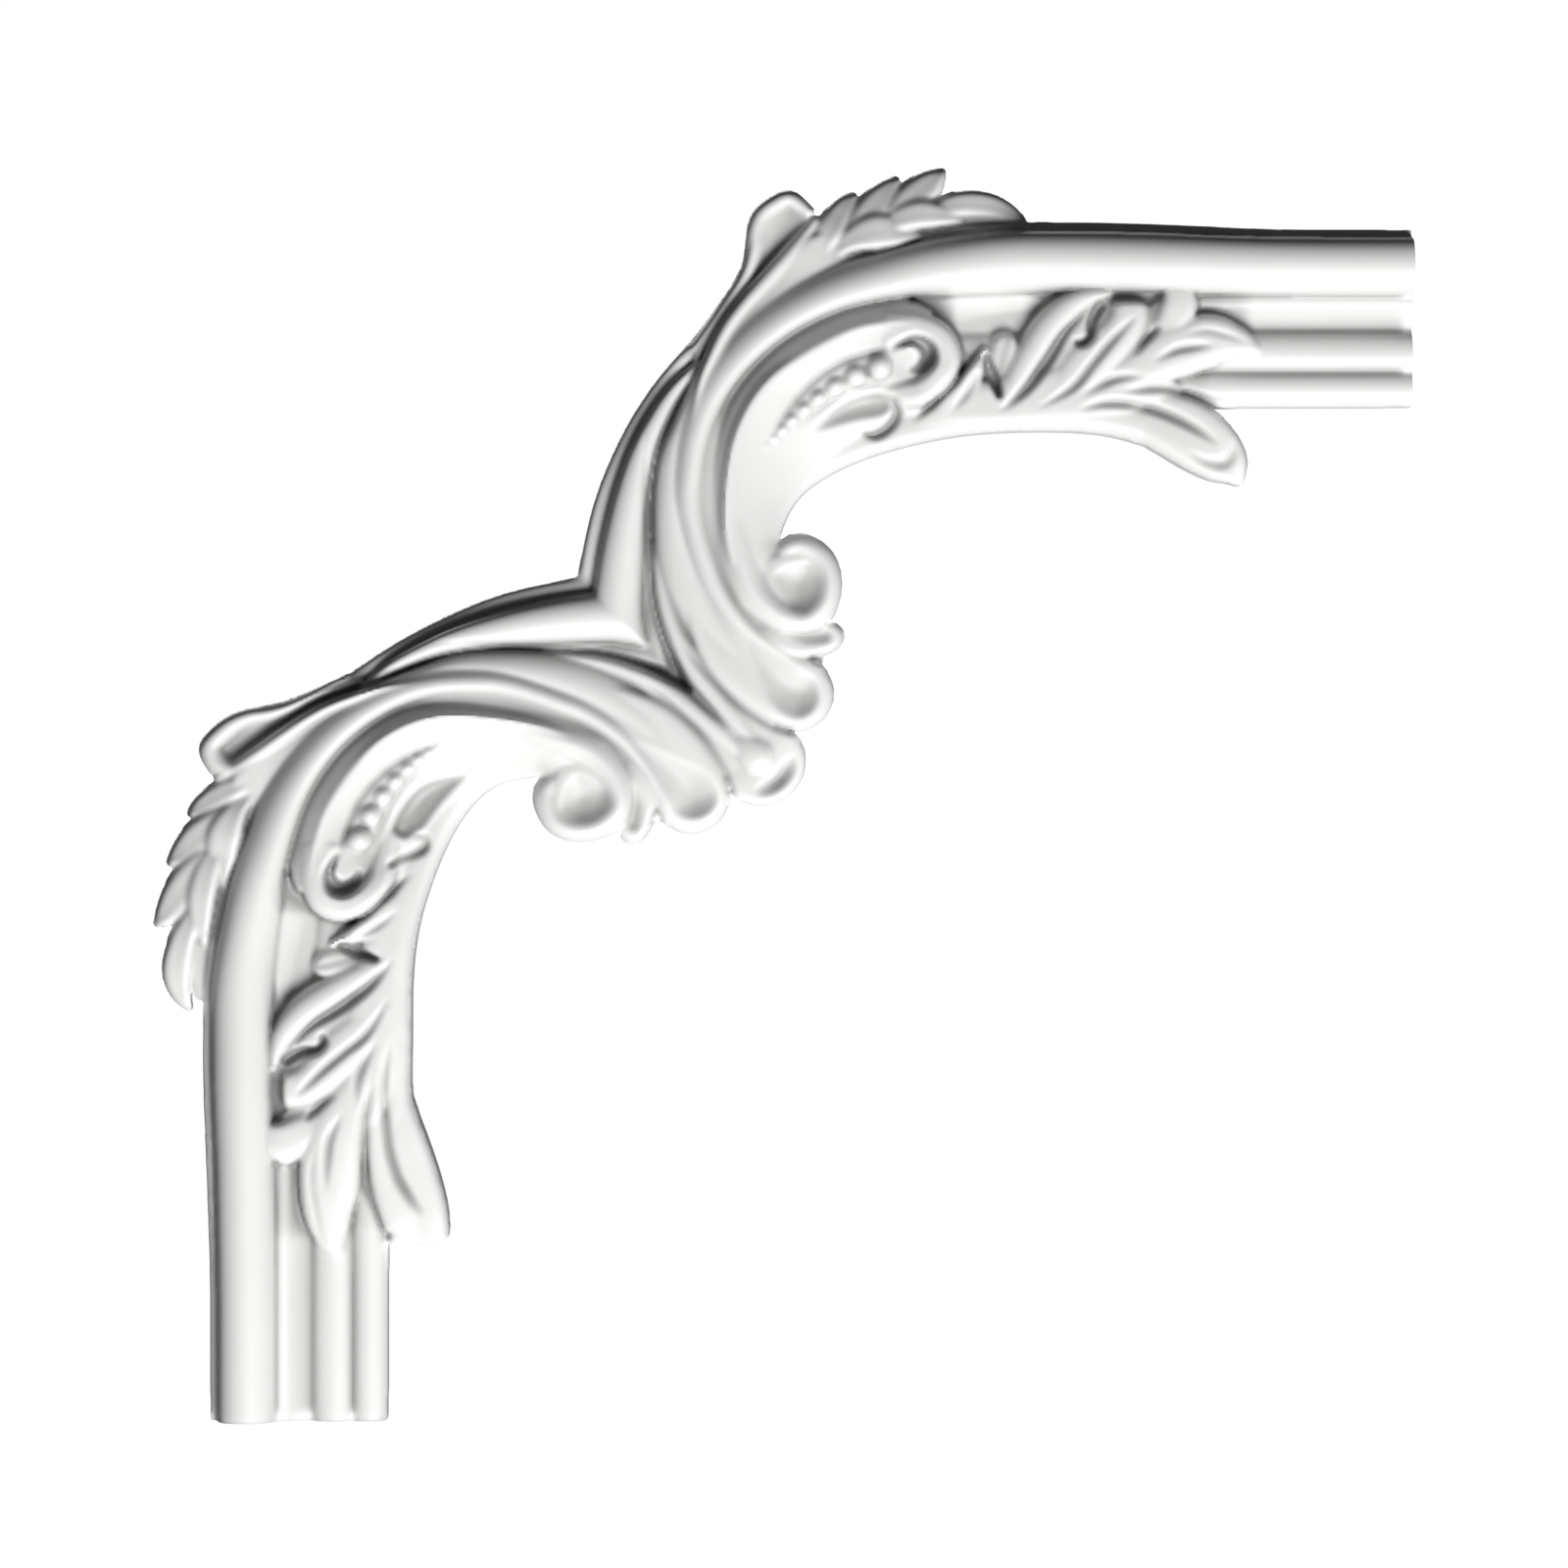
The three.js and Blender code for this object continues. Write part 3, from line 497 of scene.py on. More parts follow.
# Acanthus: leaves sweep out of the stem over the arm, the last one hanging below the inner edge.
# They lie over the profile and are cast in one with it. The two end leaves differ on the lower arm.
carve("acanthus", [
    {"path": [(53.3, 56.2, 1.3, 10.8), (61.3, 59.1, 3.1, 12.4), (68.9, 60.9, 5.3, 13),
              (77.8, 62.2, 6.2, 13.2), (88.9, 63.6, 7.1, 13.4), (100, 64.4, 6.7, 13.2),
              (108, 64.9, 4, 12.8), (114.7, 64, 0.4, 10.6)], "drop": 3.0, "square": 5.0},
    {"path": [(74.2, 60, 3.6, 12), (82.7, 67.1, 5.8, 12.6), (89.8, 75.6, 6.2, 12.6), (96, 80.9, 4, 12.2),
              (100, 84, 1.3, 11)], "drop": 2.0, "square": 6.0},
    {"path": [(60, 57.8, 3.6, 12.2), (64, 63.1, 4, 13.2), (67.3, 68.2, 2.2, 13.8), (69.8, 74, 0.3, 13.2)],
     "drop": 3.0, "square": 3.0},
    {"path": [(71.6, 64.9, 2.2, 11), (72.9, 69.8, 3.8, 12), (73.8, 73.8, 3.8, 12.2),
              (74.7, 77.6, 2.2, 11.4)],
     "drop": 3.4, "square": 2.6, "round_end": 2.2, "groove": 0.5, "lean": -0.8},
    {"path": [(73.3, 60.4, 2.7, 13.4), (76.9, 66.7, 3.8, 13.8), (80.9, 73.3, 4.2, 14.2),
              (84.9, 79.1, 4.2, 14.4), (89.3, 83.3, 3.6, 14.2), (93.8, 85.3, 2.4, 13.8),
              (98.7, 86, 0.4, 13)], "drop": 5.0, "square": 2.2},
    {"path": [(83.1, 60.4, 4, 13.4), (89.3, 65.8, 6, 13.6), (94.7, 71.6, 6.2, 14),
              (99.6, 76.4, 5.2, 14.2), (101.8, 80.4, 4.7, 14.2), (102, 84.4, 4.4, 13.8)],
     "drop": 4.0, "square": 3.4, "round_end": 1.2},
    {"path": [(97.8, 66.2, 2.7, 12.2), (104.4, 73.3, 4, 12.2), (108, 79.6, 4, 12), (109.8, 84.4, 1.8, 11)],
     "drop": 2.0, "square": 6.0},
    {"path": [(107.6, 74.2, 2.2, 12.6), (110.9, 78.7, 4, 13.4), (113.1, 83.1, 4.4, 13.8),
              (112.7, 88.2, 3.3, 13.2)], "drop": 4.2, "square": 4.0, "round_end": 0.9},
    {"path": [(94.7, 64, 3.1, 13.2), (103.6, 68.9, 4.9, 13.6), (112.4, 73.3, 6.4, 13.8),
              (120.4, 75.6, 6, 13.2), (126.2, 75.1, 4, 12.4), (129.8, 73.8, 2, 11.6),
              (131.6, 72.9, 0.4, 11)], "drop": 3.6, "square": 3.6, "only": "upper"},
    {"path": [(94.7, 64, 3.1, 13.2), (103.6, 68.4, 5.3, 13.6), (112.4, 72, 7.1, 13.8),
              (120.9, 73.8, 6.7, 13.4), (126.7, 73.1, 4.2, 12.6), (131.1, 71.3, 0.4, 11.4)],
     "drop": 3.6, "square": 3.2, "only": "lower"},
    {"path": [(94.7, 59.1, 3.6, 13), (103.6, 59.1, 5.3, 13.2), (112.4, 56.4, 7.1, 13.2),
              (119.6, 52, 7.1, 12.8), (124.9, 47.1, 4.9, 12.2), (127.6, 42.9, 0.4, 11)],
     "drop": 3.6, "square": 3.2, "dish": 1.2, "only": "upper"},
    {"path": [(94.7, 60, 3.6, 13), (103.6, 60.9, 5.6, 13.2), (112.4, 59.3, 7.1, 13.2),
              (119.1, 56.9, 7.6, 12.8), (124.4, 54.2, 7.3, 12.4), (128.9, 53.6, 6.7, 11.6)],
     "drop": 3.6, "square": 3.2, "dish": 1.2, "round_end": 0.9, "only": "lower"},
])

# Laurel spray on the outer edge: an outer row leaning out and an inner row lying along the roll.
# The leaves overlap like tiles on a low bed of their own, cast in one with the ear and the lip.
laurel_leaf = {"drop": 3.6, "square": 3.4, "dish": 0.7, "lean": -1.1}
carve("laurel", [
    {"path": [(30.2, 95.1, 3.1, 10), (36.9, 97.8, 4.4, 10), (44.4, 99.6, 5.3, 9.2),
              (53.3, 102.2, 4.9, 8.4), (65.6, 104.2, 3.6, 7.6), (76.9, 102.9, 0.9, 6.6)],
     "drop": 2.4, "square": 3.0},
    {"path": [(31.1, 92.9, 1.1, 10), (34, 99.3, 3.3, 11), (36.9, 104.2, 3.3, 9.2),
              (39.1, 107.6, 2.1, 7.6), (40.4, 109.6, 0.3, 6.4)], **laurel_leaf},
    {"path": [(39.6, 99.6, 2.2, 11.6), (43.1, 103.8, 3.8, 10.6), (46.4, 107.8, 3.8, 8.8),
              (48.7, 111.1, 2.2, 7.2), (50, 113.3, 0.3, 6.2)], **laurel_leaf},
    {"path": [(48.4, 103.6, 2.2, 11), (52.4, 107.1, 3.8, 10), (56.2, 110.4, 3.8, 8.2),
              (59.1, 113.1, 2.3, 6.8), (60.9, 114.9, 0.3, 6)], **laurel_leaf},
    {"path": [(56.9, 104.4, 1.8, 10.2), (63.3, 106.4, 3.1, 9.4), (70, 106.4, 3.1, 8.2),
              (75.6, 104.7, 2, 7), (79.1, 102.4, 0.3, 6.2)], **laurel_leaf, "only": "upper"},
    {"path": [(56.9, 104.7, 1.8, 10.2), (63.3, 107.8, 3.3, 9.4), (70, 108.7, 3.6, 8.4),
              (75.6, 107.6, 2.4, 7.2), (79.6, 105.3, 0.3, 6.2)], **laurel_leaf, "only": "lower"},
    {"path": [(35.6, 95.1, 1.1, 10.4), (39.6, 98.2, 3.1, 12.4), (44.7, 100, 4.4, 12.9),
              (49.8, 100, 3.6, 12), (53.6, 99.6, 1.8, 11), (56, 98.9, 0.3, 10)], **laurel_leaf},
    {"path": [(46.2, 100.4, 1.1, 10.4), (49.8, 102.7, 2.9, 11.8), (54.7, 104, 3.6, 12),
              (59.3, 103.8, 2.9, 11.2), (62.7, 103.1, 1.6, 10.2), (64.9, 102.4, 0.3, 9.2)],
     **laurel_leaf},
])

# Hollows: deep gouge cuts into the pattern, such as the volute's eye and the hooked leaf.
# A path gives the floor of the cut, and a drop below nothing lets its sides rise. The last one is a
# pinhole that an air bubble left by the lower hanging leaf.
gouges = {"upper": [], "lower": []}


def gouge(name, members):
    lay(name, members, gouges)


gouge("hollows", [
    {"path": [(48.4, 73.3, 0.7, 15.2), (50.7, 74.4, 0.9, 14.2), (53.6, 75.1, 1.2, 13.4),
              (56, 74, 1.7, 12.6), (56.9, 71.8, 1.8, 12), (55.8, 69.6, 1.7, 12), (53.8, 68.7, 1.1, 13),
              (52.2, 69.1, 0.7, 13.8)], "drop": -2.8},
    {"path": [(30.2, 54.2, 0.4, 12.2), (34.9, 57.3, 1.8, 10.4), (40.4, 60, 2.7, 9.4),
              (46.2, 61.1, 2.7, 9.4), (50, 62, 0.9, 11.4)], "drop": -3.0, "only": "upper"},
    {"path": [(27.6, 46.7, 0.4, 10.4), (31.6, 51.1, 2, 8.6), (35.8, 55.1, 3.1, 7.8), (41.3, 58.4, 3.3, 8),
              (45.1, 60.9, 2, 9.6)], "drop": -3.0, "only": "lower"},
    {"path": [(48.4, 61.8, 1.1, 10.2), (49.8, 59.1, 1.4, 9.2), (48, 56, 1.3, 8.4), (44.9, 54.2, 1.2, 8),
              (42, 54.7, 0.7, 8.8)], "drop": -2.4, "only": "upper"},
    {"path": [(52, 62, 0.7, 11), (50.2, 59.6, 1.1, 9.8), (49.1, 57.1, 1.2, 9), (47.6, 55.1, 1.2, 8.4),
              (45.8, 54.4, 1.1, 8.6), (44.4, 55.8, 1, 9.2), (45.3, 57.3, 0.7, 9.8)],
     "drop": -2.4, "only": "lower"},
    {"path": [(69.6, 72.4, 0.7, 9.4), (70.7, 68.9, 1.3, 8.2), (72, 65.6, 1.1, 8.2),
              (72.9, 62.4, 0.3, 10.2)], "drop": -4.0},
    {"path": [(21.8, 22.7, 4, 13.4), (25.3, 21.6, 5.8, 12.2), (28.9, 20.2, 6.7, 11.2),
              (32.9, 19.1, 6.4, 11)], "drop": -4.0, "square": 1.8, "round_end": 6.4},
    {"path": [(126.7, 60.9, 0.7, 7.4), (128, 60.4, 0.8, 6.8)], "drop": -1.5, "only": "lower"},
])

# Incised lines: veins of the leaves, creases and the spoons of the shell, cut with a small gouge into
# what is there. Here the last number of a point is the depth of the cut.
incisions = {"upper": [], "lower": []}


def incise(name, members):
    cut = {"incised": True, "drop": 0.0, "dish_power": 1.0}
    lay(name, [{**cut, **member} for member in members], incisions)


incise("lines", [
    {"path": [(48.2, 66, 0.7, 0), (42.7, 64.9, 1.1, 0.9), (37.1, 62.9, 1.1, 0.9), (31.6, 59.6, 0.9, 0.7),
              (27.1, 55.3, 0.7, 0)]},
    {"path": [(49.1, 73.6, 0.7, 0.4), (43.3, 72.2, 0.9, 0.9), (37.3, 70.2, 0.9, 0.9),
              (32, 66.9, 0.9, 0.8), (27.1, 62, 0.8, 0.7), (23.6, 56.9, 0.7, 0.5), (20.7, 51.6, 0.4, 0)]},
    {"path": [(65.3, 70.7, 0.9, 0.6), (63.1, 66.7, 1.1, 2.2), (59.1, 62.7, 1.1, 2.2),
              (55.1, 58.7, 0.9, 0.6), (52.9, 56.4, 0.4, 0)]},
    {"path": [(61.8, 59.1, 0.4, 0), (65.3, 63.1, 1, 1.2), (68.4, 68.4, 0.9, 0.8)]},
    {"path": [(72.4, 59.1, 0.4, 0), (78.7, 64.4, 1.3, 1.8), (83.6, 71.1, 1.6, 2.2),
              (87.8, 77.8, 1.3, 1.8), (93.3, 82.7, 0.7, 0.4)]},
    {"path": [(96, 84, 1.3, 2.2), (93.6, 79.8, 1.3, 3), (93.3, 76.4, 1.1, 3), (91.3, 74.7, 1.1, 2.8),
              (89.6, 75.6, 0.7, 1)]},
    {"path": [(80.9, 59.8, 0.4, 0), (89.3, 64.9, 1.1, 1.3), (93.8, 70.2, 1.1, 1.4), (98.7, 76, 1.1, 1.2),
              (103.6, 80.9, 0.6, 0.2)]},
    {"path": [(91.1, 62.7, 0.4, 0), (96.4, 65.8, 1.1, 1.1), (100.4, 67.1, 1.1, 1), (106.2, 67.3, 0.4, 0)]},
    {"path": [(103.1, 72, 0.7, 0.3), (105.8, 75.6, 0.9, 1.3), (108.9, 78.7, 0.7, 1.2)]},
    {"path": [(107.1, 70.4, 0.4, 0), (112.4, 73.1, 1.1, 1.1), (116.9, 74, 1.1, 1), (121.3, 74.2, 0.4, 0)]},
    {"path": [(114.2, 76.4, 0.4, 0), (119.1, 77.6, 0.9, 0.6), (124.4, 76.4, 0.9, 0.6),
              (129.8, 74.4, 0.4, 0)]},
    {"path": [(100.4, 63.6, 0.4, 0), (107.1, 64.7, 1.1, 1.2), (114.2, 64, 1.1, 1.4), (120.9, 62, 0.9, 1),
              (124.9, 60.7, 0.7, 0.6)], "only": "upper"},
    {"path": [(100.4, 63.8, 0.4, 0), (109.1, 65.6, 1.3, 1.3), (119.1, 65.6, 1.3, 1.3),
              (124, 63.1, 0.9, 1.1), (127.1, 61.3, 0.6, 0.8)], "only": "lower"},
    {"path": [(90.2, 59.6, 0.4, 0), (96.4, 61.3, 1.1, 1.2), (103.6, 60.9, 1.3, 1.6),
              (110.7, 58.7, 1.3, 1.6), (116.9, 55.6, 1.1, 1.3), (122.2, 52, 0.7, 0)], "only": "upper"},
    {"path": [(90.2, 59.6, 0.4, 0), (100, 61.1, 1, 1), (112.4, 60.7, 1.3, 1.4), (118, 58.9, 1.3, 1.5),
              (121.3, 56, 1.1, 1.3), (124, 52.4, 0.7, 0)], "only": "lower"},
    {"path": [(114.7, 50.9, 0.7, 0), (119.1, 48.4, 1.3, 0.6), (123.6, 48, 1.6, 0.8),
              (125.3, 50.7, 1.3, 0.6), (124.9, 53.8, 0.7, 0)], "only": "upper"},
    {"path": [(-6.7, 55.6, 0.4, 0), (-6.9, 46.7, 0.7, 0.8), (-6.7, 35.6, 0.8, 1.3), (-6, 26.7, 0.9, 1.6),
              (-4.9, 17.3, 1, 2), (-3.1, 10, 1.2, 2.4), (-0.9, 3.6, 1.4, 2.6), (1.8, -1.3, 1.4, 2.4),
              (4.9, -4.9, 1.3, 2), (8, -8, 1.1, 1.4), (12, -12, 0.6, 0)]},
    {"path": [(0, 9.3, 0.3, 0), (3.6, 4, 0.7, 0.6), (8.9, -1.8, 0.7, 0.7), (14.7, -7.1, 0.8, 0.8),
              (22.2, -11.6, 0.8, 0.9), (28.4, -13.3, 0.7, 0.8)]},
    {"path": [(14.7, 10.7, 0.7, 0), (18.2, 5.8, 2.2, 0.5), (22.2, 0.9, 4, 1.3), (26.2, -3.6, 5.3, 2.2),
              (32, -6.2, 4.9, 2.2)], "round_end": 4.2},
    {"path": [(24, 10, 0.9, 0), (29.3, 8.9, 1.8, 1.1), (35.1, 9.3, 1.8, 1.1)], "round_end": 1.8},
    {"path": [(13.8, -26.2, 0.9, 0), (18.7, -26.2, 1.8, 1.2), (22.7, -24, 1.9, 1.7),
              (25.1, -20.9, 1.8, 1.3), (26.2, -17.8, 0.9, 0)]},
])

# Pearls: a row of beads in the scroll's channel, each smaller and set deeper than the one before.
# They are small balls pressed into the pattern, so the casting carries them in one with the scroll.
PEARL_COUNT = 9
PEARL_LARGEST = 2.6
PEARL_SHRINK = 0.84
PEARL_SEAT = 14.6
PEARL_SINK = 0.11
PEARL_FACETS = 3
PEARL_CHANNEL = [(45.8, 69.4), (33, 66), (20.7, 51.5)]


def pearl_tree():
    """One pearl on each point of the row, as large as the point says."""
    sockets = {"Row": "Geometry", "Facets": "Int", "Finish": "Material"}
    tree, link, given = new_tree("pearl_row", sockets, "Pearls")
    pearl = new_node(tree, "GeometryNodeMeshIcoSphere")
    pearl.inputs["Radius"].default_value = 1.0
    link(given.outputs["Facets"], pearl.inputs["Subdivisions"])
    size = new_node(tree, "GeometryNodeInputNamedAttribute", data_type="FLOAT")
    size.inputs["Name"].default_value = "size"
    set_out = new_node(tree, "GeometryNodeInstanceOnPoints")
    link(given.outputs["Row"], set_out.inputs["Points"])
    link(pearl.outputs["Mesh"], set_out.inputs["Instance"])
    link(size.outputs["Attribute"], set_out.inputs["Scale"])
    return handed_out(tree, given, set_out.outputs["Instances"])


PEARLS = pearl_tree()
start, bend, finish = (np.array(point) for point in PEARL_CHANNEL)
sizes = [PEARL_LARGEST * PEARL_SHRINK ** i for i in range(PEARL_COUNT)]
run = sum(PEARL_SHRINK ** i for i in range(PEARL_COUNT - 1))
for half, place in HALVES.items():
    seats, travelled = [], 0.0
    for i in range(PEARL_COUNT):
        t = travelled / run
        along, out = start * (1 - t) ** 2 + bend * 2 * t * (1 - t) + finish * t ** 2
        seats.append((*place(along, out), PEARL_SEAT - PEARL_SINK * i))
        travelled += PEARL_SHRINK ** i
    row = bpy.data.meshes.new(f"pearls_{half}")
    row.from_pydata(seats, [], [])
    row.attributes.new("size", "FLOAT", "POINT").data.foreach_set("value", sizes)
    settings = {"Facets": PEARL_FACETS, "Finish": primer}
    pattern[half].append(made_solid(f"pearls_{half}", row, PEARLS, settings))

# Casting: the whole corner comes out of one mould as one skin of rigid foam with a flat back.
# The mould rounds every edge a little. Both arms are sawn square after casting.
# A fine board of points reads the pattern's height, and the skin is drawn over it.
MM = 0.001
UPPER_ARM_END = 166.0
LOWER_ARM_END = 168.0
BOARD_LEFT, BOARD_LOW, BOARD_RIGHT, BOARD_HIGH = -121.0, -170.0, 168.0, 118.0
PITCH = 0.18
CELL_STEPS = 3
PROBE_FROM = 60.0
PROBE_REACH = 400.0
PROBE_MISS = 59.0
SOFTNESS = 0.42
OUTLINE_SOFTNESS = 0.4
FAINT = 1e-6


def reading_tree():
    """A board of points that each read the height of the pattern straight below them."""
    numbers = ("Width", "Depth", "Middle x", "Middle y", "From", "Direction")
    sockets = {"Pattern": "Geometry", **dict.fromkeys(numbers, "Float"),
               "Columns": "Int", "Rows": "Int", "Finish": "Material"}
    tree, link, given = new_tree("height_reading", sockets, "Board")
    grid = new_node(tree, "GeometryNodeMeshGrid")
    link(given.outputs["Width"], grid.inputs["Size X"])
    link(given.outputs["Depth"], grid.inputs["Size Y"])
    link(given.outputs["Columns"], grid.inputs["Vertices X"])
    link(given.outputs["Rows"], grid.inputs["Vertices Y"])
    middle = new_node(tree, "ShaderNodeCombineXYZ")
    link(given.outputs["Middle x"], middle.inputs["X"])
    link(given.outputs["Middle y"], middle.inputs["Y"])
    link(given.outputs["From"], middle.inputs["Z"])
    placed = new_node(tree, "GeometryNodeSetPosition")
    link(grid.outputs["Mesh"], placed.inputs["Geometry"])
    link(middle.outputs[0], placed.inputs["Offset"])
    aim = new_node(tree, "ShaderNodeCombineXYZ")
    link(given.outputs["Direction"], aim.inputs["Z"])
    probe = new_node(tree, "GeometryNodeRaycast")
    link(given.outputs["Pattern"], probe.inputs["Target Geometry"])
    link(aim.outputs[0], probe.inputs["Ray Direction"])
    probe.inputs["Ray Length"].default_value = PROBE_REACH
    found = new_node(tree, "GeometryNodeSetPosition")
    link(placed.outputs["Geometry"], found.inputs["Geometry"])
    link(probe.outputs["Is Hit"], found.inputs["Selection"])
    link(probe.outputs["Hit Position"], found.inputs["Position"])
    return handed_out(tree, given, found.outputs["Geometry"])


def joined(name, meshes):
    points, faces, count = [], [], 0
    for mesh in meshes:
        points.append(places_of(mesh))
        faces += [[corner + count for corner in face.vertices] for face in mesh.polygons]
        count += len(mesh.vertices)
        bpy.data.meshes.remove(mesh)
    whole = bpy.data.meshes.new(name)
    whole.from_pydata(np.concatenate(points).tolist(), [], faces)
    return whole


READING = reading_tree()
columns = int(round((BOARD_RIGHT - BOARD_LEFT) / PITCH)) + 1
rows = int(round((BOARD_HIGH - BOARD_LOW) / PITCH)) + 1


def heights(name, meshes, above):
    """Heights of the meshes on the board, read from above or from below, with none where it is bare."""
    settings = {"Width": BOARD_RIGHT - BOARD_LEFT, "Depth": BOARD_HIGH - BOARD_LOW,
                "Middle x": (BOARD_LEFT + BOARD_RIGHT) / 2, "Middle y": (BOARD_LOW + BOARD_HIGH) / 2,
                "Columns": columns, "Rows": rows, "Finish": primer,
                "From": PROBE_FROM if above else -PROBE_FROM, "Direction": -1.0 if above else 1.0}
    board = made_solid(name, joined(name, meshes), READING, settings)
    level = places_of(board).reshape(columns, rows, 3)[:, :, 2].astype(np.float64)
    bpy.data.meshes.remove(board)
    return np.where(np.abs(level) > PROBE_MISS, np.nan, level)


def blurred(field, width):
    reach = int(math.ceil(3 * width / PITCH))
    taps = np.exp(-0.5 * (np.arange(-reach, reach + 1) * PITCH / width) ** 2)
    taps /= taps.sum()
    for axis in (0, 1):
        field = np.apply_along_axis(np.convolve, axis, field, taps, mode="same")
    return field


def closed(field, reach):
    """Fill every valley narrower than twice the reach."""
    for pick in (np.maximum, np.minimum):
        for axis in (0, 1):
            swept = field
            for step in range(1, int(round(reach / PITCH)) + 1):
                swept = pick(swept, pick(np.roll(field, step, axis), np.roll(field, -step, axis)))
            field = swept
    return field


xs = BOARD_LEFT + PITCH * np.arange(columns)
ys = BOARD_LOW + PITCH * np.arange(rows)
grid_x, grid_y = np.meshgrid(xs, ys, indexing="ij")
readings = {}
for half in HALVES:
    top = heights(f"pattern_{half}", pattern[half], True)
    gouged = heights(f"gouges_{half}", gouges[half], False)
    depth = heights(f"incisions_{half}", incisions[half], True)
    readings[half] = np.fmin(top, gouged) - np.nan_to_num(depth)
    readings[half][np.isnan(top)] = np.nan
relief = np.where(grid_x + grid_y >= 0, readings["upper"], readings["lower"])
solid = ~np.isnan(relief) & (grid_x <= UPPER_ARM_END) & (grid_y >= -LOWER_ARM_END)
mask = solid.astype(float)
cover = blurred(mask, OUTLINE_SOFTNESS)
weight = blurred(mask, SOFTNESS)
relief = blurred(np.where(solid, relief, 0.0), SOFTNESS) / np.maximum(weight, FAINT)

# Painted shade: the primer's colour is darkened in creases, which lie below what is close around them,
# and in valleys, where shade falls. Each valley is given by half its width and the depth at which the
# painted shade is full.
CREASE_WIDTH = 0.6
CREASE_DEPTH = 1.6
VALLEYS = [(1.0, 2.6), (2.4, 5.5), (4.5, 8.0)]
carved = np.where(solid, relief, 0.0)
around = blurred(carved, CREASE_WIDTH) / np.maximum(blurred(mask, CREASE_WIDTH), FAINT)
# The painted shade mask: how far the colour is darkened, standing in for the shade in creases and valleys.
painted_shade = np.clip((around - relief) / CREASE_DEPTH, 0, 1)
for reach, full_depth in VALLEYS:
    filled = blurred(closed(carved, reach), CREASE_WIDTH)
    painted_shade += np.clip((filled - relief) / full_depth, 0, 1)

# The outline is rounded over, and no painted shade is put on it. The two sawn ends stay sharp.
EDGE_ROUND = 1.2
EDGE_BLUR = 1.6
SHARP_END = 3.0
LEAST_HEIGHT = 2.0
PAINTED_SHADE_INSET = 1.2
PAINTED_SHADE_FADE = 0.8
inward = (blurred(mask, EDGE_BLUR) - 0.5) * EDGE_BLUR * math.sqrt(2 * math.pi)
from_saw = np.minimum(UPPER_ARM_END - grid_x, grid_y + LOWER_ARM_END)
outward = np.clip(1 - inward / EDGE_ROUND, 0, 1)
fall = EDGE_ROUND * (1 - np.sqrt(1 - outward ** 2)) * np.clip(from_saw / SHARP_END, 0, 1)
relief = np.maximum(relief - fall, LEAST_HEIGHT)
painted_shade = np.clip(painted_shade, 0, 1) * np.clip((inward - PAINTED_SHADE_INSET) / PAINTED_SHADE_FADE, 0, 1)

# The skin has a point on every third step of the board. Its border runs where the cover is half.
END_SNAP = 0.3
LEAST_WEIGHT = 0.05
level = relief[::CELL_STEPS, ::CELL_STEPS]
shade = painted_shade[::CELL_STEPS, ::CELL_STEPS]
inside = cover[::CELL_STEPS, ::CELL_STEPS] - 0.5
cell_x = xs[::CELL_STEPS]
cell_y = ys[::CELL_STEPS]
spots, tones, faces = [], [], []
corner_at, crossing_at = {}, {}


def corner(i, j):
    if (i, j) not in corner_at:
        corner_at[i, j] = len(spots)
        spots.append((cell_x[i], cell_y[j], level[i, j]))
        tones.append(shade[i, j])
    return corner_at[i, j]


def crossing(a, b):
    key = (min(a, b), max(a, b))
    if key not in crossing_at:
        (ai, aj), (bi, bj) = key
        t = inside[ai, aj] / (inside[ai, aj] - inside[bi, bj])
        x = cell_x[ai] + (cell_x[bi] - cell_x[ai]) * t
        y = cell_y[aj] + (cell_y[bj] - cell_y[aj]) * t
        if abs(x - UPPER_ARM_END) < END_SNAP:
            x = UPPER_ARM_END
        if abs(y + LOWER_ARM_END) < END_SNAP:
            y = -LOWER_ARM_END
        within = key[0] if inside[ai, aj] > 0 else key[1]
        fine = int(round((x - BOARD_LEFT) / PITCH)), int(round((y - BOARD_LOW) / PITCH))
        height = relief[fine] if weight[fine] > LEAST_WEIGHT else level[within]
        crossing_at[key] = len(spots)
        spots.append((x, y, height))
        tones.append(shade[within])
    return crossing_at[key]


rim = {}
for i in range(len(cell_x) - 1):
    for j in range(len(cell_y) - 1):
        ring = [(i, j), (i + 1, j), (i + 1, j + 1), (i, j + 1)]
        kept = [inside[node] > 0 for node in ring]
        if not any(kept):
            continue
        loop = []
        for k, here in enumerate(ring):
            after = (k + 1) % len(ring)
            if kept[k]:
                loop.append((corner(*here), False))
            if kept[k] != kept[after]:
                loop.append((crossing(here, ring[after]), True))
        faces.append([point for point, _ in loop])
        for (one, one_on_rim), (two, two_on_rim) in zip(loop, loop[1:] + loop[:1]):
            if one_on_rim and two_on_rim:
                rim[one] = two

# The outline is drawn steady, so that the side walls show no steps of the board, and the walls go
# down from it to the flat back.
RIM_REACH = 12
RIM_SHIFT = 0.12
SKIRT_ROWS = 3
outline = [next(iter(rim))]
while rim[outline[-1]] != outline[0]:
    outline.append(rim[outline[-1]])
line = np.array([spots[point][:2] for point in outline])
steady = sum(np.roll(line, k, axis=0) for k in range(-RIM_REACH, RIM_REACH + 1)) / (2 * RIM_REACH + 1)
heading = np.roll(steady, -1, axis=0) - np.roll(steady, 1, axis=0)
heading /= np.maximum(np.hypot(heading[:, 0], heading[:, 1]), FAINT)[:, None]
normal = np.stack([-heading[:, 1], heading[:, 0]], axis=1)
shift = np.clip(np.sum((steady - line) * normal, axis=1), -RIM_SHIFT, RIM_SHIFT)
shift[(line[:, 0] == UPPER_ARM_END) | (line[:, 1] == -LOWER_ARM_END)] = 0.0
for point, (x, y) in zip(outline, line + shift[:, None] * normal):
    spots[point] = (x, y, spots[point][2])

